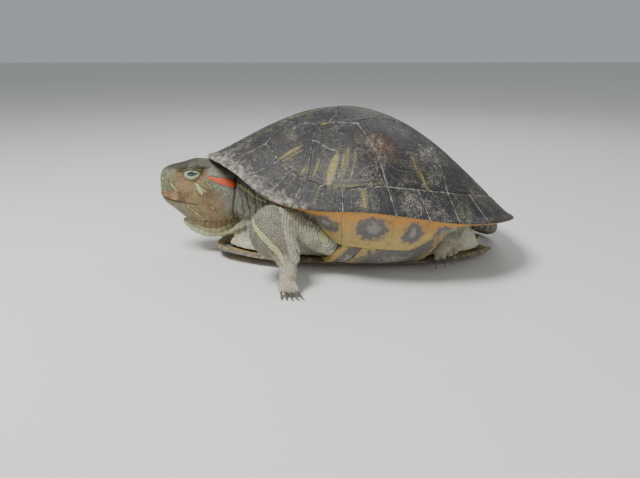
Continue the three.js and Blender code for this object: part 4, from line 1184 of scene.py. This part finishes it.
def build_skin():
    mesh = skin_lofts()
    voxel = sizes().skin_voxel * MM
    mesh = through_modifiers(mesh, ("REMESH", {"mode": "VOXEL", "voxel_size": voxel, "adaptivity": 0}),
                             ("SMOOTH", {"factor": 0.5, "iterations": 6}))
    points = get_points(mesh)
    split_faces(mesh, (points[:, 1] < -66) & (np.abs(points[:, 0]) < 24))
    points = get_points(mesh)
    near_eye = np.minimum(eye_place(points, 1)[0], eye_place(points, -1)[0]) < 2.6
    split_faces(mesh, near_eye)
    points = get_points(mesh)
    opened = open_eyes(points)
    set_points(mesh, opened)
    points = head_relief(get_points(mesh), read_vectors(mesh.vertex_normals, "vector"))
    points[:, 1] = np.maximum(points[:, 1], SNOUT_END)
    set_points(mesh, on_floor(points))
    points = get_points(mesh)
    for name, values in paint(points).items():
        write_attribute(mesh, name, values)
    nodes = ["trunk", "neck", "head", "lower_jaw", "throat_fold", *LIMBS, *FEET]
    return finish_piece("skin", mesh, turtle_skin(), nodes)


# ---------------- scales
# One scale from above, as (across, along its lie) in shares of its width and length, root first.
SCALE_OUTLINE = [(-0.46, -0.4), (-0.53, 0.05), (-0.33, 0.42), (0, 0.55), (0.33, 0.42), (0.53, 0.05),
                 (0.46, -0.4)]
# Where scales grow: (name, path, first and last share, spacing at the start and the end, share of rise).
SCALED = [
    ("left_foreleg", LIMBS["left_foreleg"], 0.12, 1.0, 1.75, 1.15, 1.0),
    ("right_foreleg", LIMBS["right_foreleg"], 0.12, 1.0, 1.75, 1.15, 1.0),
    ("left_hind_leg", LIMBS["left_hind_leg"], 0.2, 1.0, 1.7, 1.2, 1.0),
    ("right_hind_leg", LIMBS["right_hind_leg"], 0.15, 1.0, 1.8, 1.2, 1.0),
    ("tail", LIMBS["tail"], 0.1, 0.98, 1.6, 0.8, 0.8),
    ("neck", None, 0.0, 1.0, 1.25, 1.4, 0.5),
]


def neck_path():
    return [(0, y, (top + bottom) / 2, half, (top - bottom) / 2) for y, top, bottom, half in NECK[1:]]


def scale_template():
    """Corners as (across, along, height) with their nearness to the free edge, and the faces over them."""
    outline = np.array(SCALE_OUTLINE)
    count = len(outline)
    free = smoothstep(outline[:, 1], -0.4, 0.3)
    low = np.column_stack([outline * 0.96, np.full(count, -0.5)])
    edge = np.column_stack([outline, -0.35 + 1.15 * free])
    ring = np.column_stack([outline * 0.62, 0.35 + 0.75 * free])
    points = np.concatenate([low, edge, ring, [[0, 0, 1.0]]])
    edge_share = np.concatenate([np.ones(2 * count), np.full(count, 0.25), [0]])
    faces = [tuple(reversed(range(count)))]
    for i in range(count):
        j = (i + 1) % count
        faces.append((i, j, count + j, count + i))
        faces.append((count + i, count + j, 2 * count + j, 2 * count + i))
        faces.append((2 * count + i, 2 * count + j, 3 * count))
    return points, edge_share, faces


def limb_seats(tree, rows, first, last, spacing, end_spacing, seed):
    """Roots of scales in rows along a limb: place, outward and lie directions, width, (turn, share)."""
    rng = random.Random(seed)
    centres = sweep_path(rows, np.linspace(0, 1, 40))[0]
    length = np.linalg.norm(np.diff(centres, axis=0), axis=1).sum()
    seats, share, row = [], first, 0
    while share < last:
        t = (share - first) / (last - first)
        step = lerp(spacing, end_spacing, t)
        frame_here = sweep_frame(rows, FACING_UP, np.array([share]))
        centre, ahead, across, out, half, thick = (item[0] for item in frame_here)
        count = max(int(math.pi * (half + thick) / (step * 0.95)), 6)
        for i in range(count):
            a = 2 * math.pi * (i + 0.5 * (row % 2) + rng.uniform(-0.12, 0.12)) / count
            way = across * math.cos(a) + out * math.sin(a)
            hit, normal, _, distance = tree.ray_cast(Vector(centre), Vector(way))
            if hit is None or distance > 1.5 * max(half, thick) or hit.z < 0.9:
                continue
            normal = np.array(normal)
            normal = normal * (1 if normal @ way > 0 else -1)
            if normal @ way < 0.3:
                continue
            seats.append((np.array(hit), normal, ahead, step * rng.uniform(0.92, 1.12),
                          (a / (2 * math.pi) % 1, share)))
        share += 0.78 * step / length
        row += 1
    return seats


def scale_mesh(name, seats, rise):
    """All the scales of one region as one mesh, closed, painted as the skin under them is."""
    template, edge_share, faces = scale_template()
    root, normal = np.array([seat[0] for seat in seats]), np.array([seat[1] for seat in seats])
    ahead = np.array([seat[2] for seat in seats])
    width = np.array([seat[3] for seat in seats])[:, None]
    lie = unit(ahead - normal * np.einsum("ij,ij->i", ahead, normal)[:, None])
    across = np.cross(lie, normal)
    a, b, h = template.T
    points = (root[:, None] + across[:, None] * (a[None, :, None] * width[:, None])
              + lie[:, None] * (b[None, :, None] * width[:, None] * 1.25)
              + normal[:, None] * (h[None, :, None] * rise))
    count, each = len(seats), len(template)
    points = on_floor(points.reshape(-1, 3))
    sizes_of_faces = np.array([len(face) for face in faces])
    corners = np.concatenate([np.array(face) for face in faces])
    mesh = bpy.data.meshes.new(name)
    mesh.vertices.add(count * each)
    mesh.loops.add(count * len(corners))
    mesh.polygons.add(count * len(faces))
    loop_verts = (corners[None, :] + np.arange(count)[:, None] * each).ravel()
    mesh.loops.foreach_set("vertex_index", loop_verts.astype(np.int32))
    starts = np.concatenate([[0], np.cumsum(np.tile(sizes_of_faces, count))[:-1]])
    mesh.polygons.foreach_set("loop_start", starts.astype(np.int32))
    set_points(mesh, points)
    mesh.update(calc_edges=True)
    mesh.validate()
    uv = np.array([seat[4] for seat in seats])[:, None] * 0.994 + 0.003
    uv = (uv + template[None, :, :2] * 0.0028).reshape(-1, 2)[loop_verts]
    mesh.uv_layers.new(name="OFBake").data.foreach_set("uv", uv.astype(np.float32).ravel())
    for key, values in paint(points).items():
        write_attribute(mesh, key, values)
    write_attribute(mesh, "free_edge", np.tile(edge_share, count))
    return mesh


def build_scales():
    skin = bpy.data.objects["skin"].data
    tree = BVHTree.FromPolygons(get_points(skin).tolist(), [tuple(face.vertices) for face in skin.polygons])
    for number, (name, rows, first, last, start, end, share) in enumerate(SCALED):
        rows = rows or neck_path()
        seats = limb_seats(tree, rows, first, last, start, end, number)
        mesh = scale_mesh("scales_" + name, seats, sizes().scale_rise * share)
        finish_piece("scales_" + name, mesh, turtle_skin())
    for number, (name, foot) in enumerate(FEET.items()):
        palm, toes, _, _ = foot_parts(foot)
        seats = limb_seats(tree, palm, 0.3, 0.95, 1.1, 0.95, 20 + number)
        for toe in toes:
            seats += limb_seats(tree, toe, 0.15, 0.9, 0.85, 0.7, 30 + number)
        mesh = scale_mesh("scales_" + name, seats, sizes().scale_rise * 0.7)
        finish_piece("scales_" + name, mesh, turtle_skin())


# ---------------- materials
class Shader:
    """A procedural material written as a sum of small steps; each step returns an output socket."""

    def __init__(self, name, roughness, specular=0.5):
        self.material = bpy.data.materials.new(name)
        self.material.use_nodes = True
        self.tree = self.material.node_tree
        self.surface = self.tree.nodes["Principled BSDF"]
        self.surface.inputs["Roughness"].default_value = roughness
        self.surface.inputs["Specular IOR Level"].default_value = specular
        self.place = self.tree.nodes.new("ShaderNodeTexCoord").outputs["Object"]

    def put(self, socket, value):
        if isinstance(value, bpy.types.NodeSocket):
            self.tree.links.new(value, socket)
        elif isinstance(value, (tuple, list)) or hasattr(value, "r"):
            rgb = tuple(value)[:3]
            socket.default_value = (*rgb, 1.0) if len(socket.default_value) == 4 else rgb
        else:
            socket.default_value = value

    def attribute(self, name, kind="Fac"):
        node = self.tree.nodes.new("ShaderNodeAttribute")
        node.attribute_name = name
        return node.outputs[kind]

    def math(self, operation, *values):
        node = self.tree.nodes.new("ShaderNodeMath")
        node.operation = operation
        for socket, value in zip(node.inputs, values):
            self.put(socket, value)
        return node.outputs["Value"]

    def step(self, value, low, high):
        """0 below low and 1 above high, smoothly; low may be the larger."""
        node = self.tree.nodes.new("ShaderNodeMapRange")
        node.interpolation_type = "SMOOTHSTEP"
        turned = low > high
        for socket, item in zip(("Value", "From Min", "From Max", "To Min", "To Max"),
                                (value, min(low, high), max(low, high), float(turned), float(not turned))):
            self.put(node.inputs[socket], item)
        return node.outputs["Result"]

    def mix(self, share, first, second):
        node = self.tree.nodes.new("ShaderNodeMix")
        node.data_type = "RGBA"
        self.put(node.inputs["Factor"], share)
        self.put(node.inputs["A"], first)
        self.put(node.inputs["B"], second)
        return next(out for out in node.outputs if out.type == "RGBA")

    def times(self, first, second):
        return self.math("MULTIPLY", first, second)

    def plus(self, first, second):
        return self.math("ADD", first, second)

    def centred(self, value):
        return self.math("SUBTRACT", value, 0.5)

    def over(self, base, top, value, low, high, strength=1.0):
        """The colour top over base, where value passes from low to high."""
        share = self.step(value, low, high)
        return self.mix(share if strength == 1.0 else self.times(share, strength), base, top)

    def noise(self, width, detail=2.0, vector=None, distortion=0.0):
        """Noise whose swells are so many millimetres wide."""
        node = self.tree.nodes.new("ShaderNodeTexNoise")
        node.inputs["Scale"].default_value = 1 / (width * MM)
        node.inputs["Detail"].default_value = detail
        node.inputs["Distortion"].default_value = distortion
        self.tree.links.new(vector or self.place, node.inputs["Vector"])
        return node.outputs["Fac"]

    def stripes(self, value, period, blur=0.5):
        """Lines where value crosses a multiple of period; 1 on the line."""
        wave = self.math("SINE", self.times(value, 2 * math.pi / period))
        return self.step(wave, 1 - blur, 1.0)

    def combine(self, x, y):
        node = self.tree.nodes.new("ShaderNodeCombineXYZ")
        self.put(node.inputs["X"], x)
        self.put(node.inputs["Y"], y)
        return node.outputs["Vector"]

    def cells(self, width, feature="F1"):
        node = self.tree.nodes.new("ShaderNodeTexVoronoi")
        node.feature = feature
        node.inputs["Scale"].default_value = 1 / (width * MM)
        self.tree.links.new(self.place, node.inputs["Vector"])
        return node.outputs["Distance"]

    def bump(self, height, depth, strength=1.0):
        """Adds relief of so many millimetres on what is there."""
        node = self.tree.nodes.new("ShaderNodeBump")
        node.inputs["Distance"].default_value = depth * MM
        node.inputs["Strength"].default_value = strength
        self.tree.links.new(height, node.inputs["Height"])
        if self.surface.inputs["Normal"].links:
            self.tree.links.new(self.surface.inputs["Normal"].links[0].from_socket, node.inputs["Normal"])
        self.tree.links.new(node.outputs["Normal"], self.surface.inputs["Normal"])


def made_once(build):
    """The material that build makes, kept for its next caller."""
    def get():
        found = bpy.data.materials.get(build.__name__)
        return found or build()
    return get


@made_once
def turtle_horn():
    pick = colours()
    s = Shader("turtle_horn", 0.5, 0.25)
    large, middle, fine = s.noise(12, 3), s.noise(3.0, 4), s.noise(0.55, 3)
    ring = s.attribute("ring")
    bent = s.plus(s.times(ring, 0.030), s.times(middle, 0.0016))
    lines = s.noise(0.8, 2, s.combine(bent, s.times(large, 0.003)))
    base = s.over(pick.horn, pick.horn_olive, large, 0.45, 0.72, 0.7)
    base = s.over(base, pick.slate, lines, 0.52, 0.72, 0.7)
    base = s.mix(s.times(s.attribute("hollow"), 0.75), base,
                 s.mix(middle, (0.02, 0.012, 0.008), (0.14, 0.07, 0.03)))
    wander = s.centred(middle)
    grain = s.centred(lines)
    streak = s.plus(s.attribute("streak"), s.times(wander, 2.6))
    streak = s.plus(streak, s.times(grain, 1.6))
    beside = s.times(s.stripes(streak, 1.7, 1.2), s.step(streak, 5.0, 1.0))
    beside = s.times(beside, s.step(middle, 0.4, 0.6))
    base = s.mix(s.times(beside, 0.4), base, s.mix(0.5, pick.streak, pick.horn_olive))
    faded = s.over(s.mix(0.45, pick.streak, (0.05, 0.05, 0.02)), pick.streak, lines, 0.35, 0.6)
    base = s.over(base, faded, streak, 0.5, -1.1, 0.8)
    # Grey dust lies in specks, thicker in some places than in others.
    dust = s.attribute("dust")
    veil = s.times(s.centred(s.noise(21, 2)), 0.55)
    speck = s.plus(s.plus(fine, veil), s.times(wander, 0.35))
    base = s.over(base, pick.dust, speck, 0.55, 0.74, 0.42)
    # The underside: orange by the edge, yellow below, slate smudges with dusty middles.
    spot = s.plus(s.attribute("spot"), s.times(wander, 1.5))
    spot = s.plus(spot, s.times(s.centred(fine), 0.5))
    below = s.mix(s.attribute("orange"), pick.under, pick.orange)
    below = s.over(below, s.mix(0.5, pick.slate, pick.under), middle, 0.42, 0.7, 0.6)
    smudge = s.over(pick.slate, s.mix(0.45, pick.slate, pick.dust), spot, 0.55, 0.1, 0.6)
    below = s.over(below, smudge, spot, 1.15, 0.7, 0.93)
    below = s.over(below, pick.dust, fine, 0.55, 0.75, 0.35)
    # The underside colour follows the under attribute with a crumbly edge; under the front rim it stays off,
    # leaving dark horn as painted shade.
    underside_edge_and_shade = s.plus(s.attribute("under"), s.times(s.centred(fine), 1.3))
    base = s.over(base, below, underside_edge_and_shade, 0.35, 0.6)
    # Dust in the seams and along the front rim.
    caked = s.plus(dust, s.times(s.plus(wander, s.centred(fine)), 0.9))
    sand = s.over((0.30, 0.25, 0.19), pick.dust, middle, 0.35, 0.65)
    base = s.over(base, sand, caked, 0.38, 1.05, 0.8)
    s.put(s.surface.inputs["Base Color"], base)
    s.put(s.surface.inputs["Roughness"], s.plus(0.40, s.times(s.step(speck, 0.4, 0.6), 0.3)))
    s.bump(lines, 0.22)
    s.bump(fine, 0.10)
    return s.material


@made_once
def turtle_skin():
    pick = colours()
    s = Shader("turtle_skin", 0.55, 0.4)
    middle, fine = s.noise(2.4, 3), s.noise(0.55, 2)
    wander = s.centred(middle)
    base = s.attribute("tint", "Color")
    worn = s.times(s.attribute("free_edge"), s.step(s.noise(6, 2), 0.3, 0.6))
    base = s.mix(s.times(worn, 0.35), base, (0.42, 0.40, 0.31))
    speck = s.times(s.step(fine, 0.5, 0.68), s.attribute("specks"))
    base = s.mix(speck, base, s.over((0.30, 0.10, 0.03), pick.stripe, middle, 0.4, 0.6))
    base = s.over(base, (0.02, 0.02, 0.016), fine, 0.48, 0.3, 0.45)
    dark = s.mix(0.75, base, (0.012, 0.014, 0.016))
    # Fine dark lines across the across coordinate.
    across = s.plus(s.attribute("across"), s.times(wander, 2.0))
    line = s.times(s.stripes(across, 1.55, 0.9), s.attribute("lined"))
    base = s.mix(s.times(line, 0.8), base, dark)
    pale = s.plus(s.attribute("pale"), s.times(wander, 2.6))
    base = s.over(base, dark, pale, 0.75, 0.35, 0.7)
    base = s.over(base, s.mix(middle, pick.stripe, (0.50, 0.49, 0.27)), pale, 0.2, -0.3, 0.85)
    red = s.plus(s.attribute("red"), s.times(wander, 1.3))
    base = s.over(base, dark, red, 0.9, 0.4, 0.75)
    base = s.over(base, s.mix(middle, pick.ear, (0.45, 0.10, 0.03)), red, 0.2, -0.25)
    s.put(s.surface.inputs["Base Color"], base)
    s.bump(s.cells(1.1), 0.16, 0.7)
    s.bump(fine, 0.05)
    return s.material


@made_once
def turtle_claw():
    pick = colours()
    s = Shader("turtle_claw", 0.35)
    base = s.mix(s.noise(1.5, 3), pick.claw, (0.035, 0.028, 0.020))
    s.put(s.surface.inputs["Base Color"], base)
    s.bump(s.noise(0.4, 2), 0.04)
    return s.material


@made_once
def turtle_eye():
    pick = colours()
    s = Shader("turtle_eye", 0.12, 0.6)
    s.surface.inputs["Coat Weight"].default_value = 1.0
    s.surface.inputs["Coat Roughness"].default_value = 0.03
    fine = s.noise(0.5, 3)
    wander = s.times(s.centred(fine), 0.2)
    bar = s.plus(s.attribute("bar"), wander)
    out = s.attribute("out")
    iris = s.over(pick.iris, (0.62, 0.74, 0.52), fine, 0.35, 0.65)
    iris = s.over(iris, (0.16, 0.22, 0.12), out, 0.78, 1.1)
    base = s.over(iris, (0.006, 0.007, 0.006), bar, 0.18, -0.12)
    s.put(s.surface.inputs["Base Color"], base)
    return s.material


# ---------------- eyes and claws
def build_eye(side, name):
    """An eyeball with a domed cornea. Its attributes give the distance past the dark bar and the iris."""
    bm = bmesh.new()
    bmesh.ops.create_uvsphere(bm, u_segments=64, v_segments=48, radius=1)
    mesh = made_mesh(bm, name)
    centre, gaze, length, height = eye_frame(side)
    co = read_vectors(mesh.vertices)
    cornea = 1 + 0.045 * bell(1 - co @ gaze, 0.10)
    set_points(mesh, centre + co * (EYE["radius"] * cornea)[:, None])
    a, b = co @ length * EYE["radius"], co @ height * EYE["radius"]
    front = co @ gaze > 0
    # The dark bar is a lens, pointed towards the corners.
    lens = np.abs(b - 0.6) - 1.5 * np.clip(1 - ((a - 0.5) / 3.7) ** 2, -1, 1)
    write_attribute(mesh, "bar", np.where(front, lens, 3.0))
    write_attribute(mesh, "out", np.where(front, np.hypot(a / 5.6, b / 4.2), 2.0))
    return finish_piece(name, mesh, turtle_eye(), [name])


def build_claws():
    for name, foot in FEET.items():
        bm = bmesh.new()
        _, _, claws, up = foot_parts(foot)
        for rows in claws:
            loft(bm, limb_rings(rows, up, sides=16, steps=5))
        mesh = made_mesh(bm, name)
        set_points(mesh, on_floor(read_vectors(mesh.vertices)))
        finish_piece("claws_" + name, mesh, turtle_claw())


# ---------------- operators, panel and main
def build_dome():
    for i in range(5):
        dome_plate("vertebral_%d" % (i + 1), *vertebral_seams(i), areola=(0.5, 0.62))
    for i in range(4):
        for side in ("left", "right"):
            dome_plate("costal_%s_%d" % (side, i + 1), *costal_seams(i), areola=(0.5, 0.78),
                       mirrored=side == "right")


def build_rim():
    nuchal = MARGINAL_SEAMS[0]
    rim_plate("nuchal", (-nuchal[0], -nuchal[1]), nuchal)
    for k in range(12):
        first, last = MARGINAL_SEAMS[k], MARGINAL_SEAMS[k + 1]
        rim_plate("marginal_left_%d" % (k + 1), first, last)
        rim_plate("marginal_right_%d" % (k + 1), first, last, mirrored=True)


def build_plastron():
    for i, name in enumerate(PLASTRON_NAMES):
        meshes = [plastron_plate(i)]
        if name in WINGS:
            meshes += [wing_plate(name, False), wing_plate(name, True)]
        mesh = join_meshes(meshes) if len(meshes) > 1 else meshes[0]
        finish_piece("plastron_" + name, mesh, turtle_horn(), [name + "_plates"])


class TURTLE_OT_carapace(bpy.types.Operator):
    """Builds the thirteen plates of the dome"""
    bl_idname = "turtle.carapace"
    bl_label = "Build the dome's plates"

    def execute(self, context):
        build_dome()
        return {"FINISHED"}


class TURTLE_OT_rim(bpy.types.Operator):
    """Builds the twenty-five plates of the rim"""
    bl_idname = "turtle.rim"
    bl_label = "Build the rim's plates"

    def execute(self, context):
        build_rim()
        return {"FINISHED"}


class TURTLE_OT_plastron(bpy.types.Operator):
    """Builds the plates of the underside and the bridges"""
    bl_idname = "turtle.plastron"
    bl_label = "Build the underside"

    def execute(self, context):
        build_plastron()
        return {"FINISHED"}


class TURTLE_OT_skin(bpy.types.Operator):
    """Builds the one skin over head, neck, limbs and tail"""
    bl_idname = "turtle.skin"
    bl_label = "Build the skin"

    def execute(self, context):
        build_skin()
        return {"FINISHED"}


class TURTLE_OT_scales(bpy.types.Operator):
    """Covers limbs, tail, neck and feet with scales"""
    bl_idname = "turtle.scales"
    bl_label = "Build the scales"

    def execute(self, context):
        build_scales()
        return {"FINISHED"}


class TURTLE_OT_eyes(bpy.types.Operator):
    """Builds both eyes"""
    bl_idname = "turtle.eyes"
    bl_label = "Build the eyes"

    def execute(self, context):
        build_eye(1, "eye_left")
        build_eye(-1, "eye_right")
        return {"FINISHED"}


class TURTLE_OT_claws(bpy.types.Operator):
    """Builds the claws of the four feet"""
    bl_idname = "turtle.claws"
    bl_label = "Build the claws"

    def execute(self, context):
        build_claws()
        return {"FINISHED"}


def soft_lamp(name, at, target, size, watts):
    data = bpy.data.lights.new(name, "AREA")
    data.shape, data.size, data.energy = "DISK", size, watts
    lamp = bpy.data.objects.new(name, data)
    bpy.context.collection.objects.link(lamp)
    lamp.location = at
    lamp.rotation_euler = (Vector(target) - Vector(at)).to_track_quat("-Z", "Y").to_euler()
    return lamp


class TURTLE_OT_stage(bpy.types.Operator):
    """Makes the floor, the soft lights, the backdrop and the camera"""
    bl_idname = "turtle.stage"
    bl_label = "Set the stage"

    def execute(self, context):
        bm = bmesh.new()
        bmesh.ops.create_grid(bm, x_segments=1, y_segments=1, size=4)
        mesh = made_mesh(bm, "floor")
        floor = bpy.data.objects.new("floor", mesh)
        context.collection.objects.link(floor)
        s = Shader("floor", 0.8, 0.2)
        s.put(s.surface.inputs["Base Color"], (0.72, 0.72, 0.70))
        mesh.materials.append(s.material)
        lamps = [soft_lamp("key", (0.25, -0.35, 0.75), (0, -0.02, 0.04), 0.35, 9.0),
                 soft_lamp("fill", (0.75, 0.55, 0.35), (0, 0, 0.05), 0.6, 2.2),
                 soft_lamp("back", (-0.5, 0.2, 0.6), (0, 0, 0.06), 0.5, 1.2)]
        world = bpy.data.worlds.new("studio")
        world.use_nodes = True
        world.node_tree.nodes["Background"].inputs["Color"].default_value = (0.82, 0.86, 0.9, 1)
        world.node_tree.nodes["Background"].inputs["Strength"].default_value = 0.42
        context.scene.world = world
        data = bpy.data.cameras.new("camera")
        data.lens, data.sensor_width = 36.0, 36.0
        camera = bpy.data.objects.new("camera", data)
        context.collection.objects.link(camera)
        camera.location = CAMERA["at"]
        camera.rotation_euler = Vector(CAMERA["ahead"]).to_track_quat("-Z", "Y").to_euler()
        context.scene.camera = camera
        return {"FINISHED"}


class TURTLE_PT_panel(bpy.types.Panel):
    """The turtle's sizes, colours and steps"""
    bl_idname = "TURTLE_PT_panel"
    bl_label = "Turtle"
    bl_space_type = "VIEW_3D"
    bl_region_type = "UI"
    bl_category = "Turtle"

    def draw(self, context):
        layout = self.layout
        for sheet in (sizes(), colours()):
            for name in sheet.__annotations__:
                layout.prop(sheet, name)
        for step in STEPS:
            layout.operator(step.bl_idname)


STEPS = (TURTLE_OT_carapace, TURTLE_OT_rim, TURTLE_OT_plastron, TURTLE_OT_skin,
         TURTLE_OT_scales, TURTLE_OT_eyes, TURTLE_OT_claws, TURTLE_OT_stage)
CLASSES = (TurtleSizes, TurtleColours, *STEPS, TURTLE_PT_panel)


def register():
    for item in CLASSES:
        bpy.utils.register_class(item)
    bpy.types.Scene.turtle_sizes = PointerProperty(type=TurtleSizes)
    bpy.types.Scene.turtle_colours = PointerProperty(type=TurtleColours)


def unregister():
    del bpy.types.Scene.turtle_colours
    del bpy.types.Scene.turtle_sizes
    for item in reversed(CLASSES):
        bpy.utils.unregister_class(item)


def main():
    register()
    for step in STEPS:
        group, name = step.bl_idname.split(".")
        result = getattr(getattr(bpy.ops, group), name)()
        if result != {"FINISHED"}:
            raise RuntimeError("%s did not finish" % step.bl_idname)


if __name__ == "__main__":
    main()
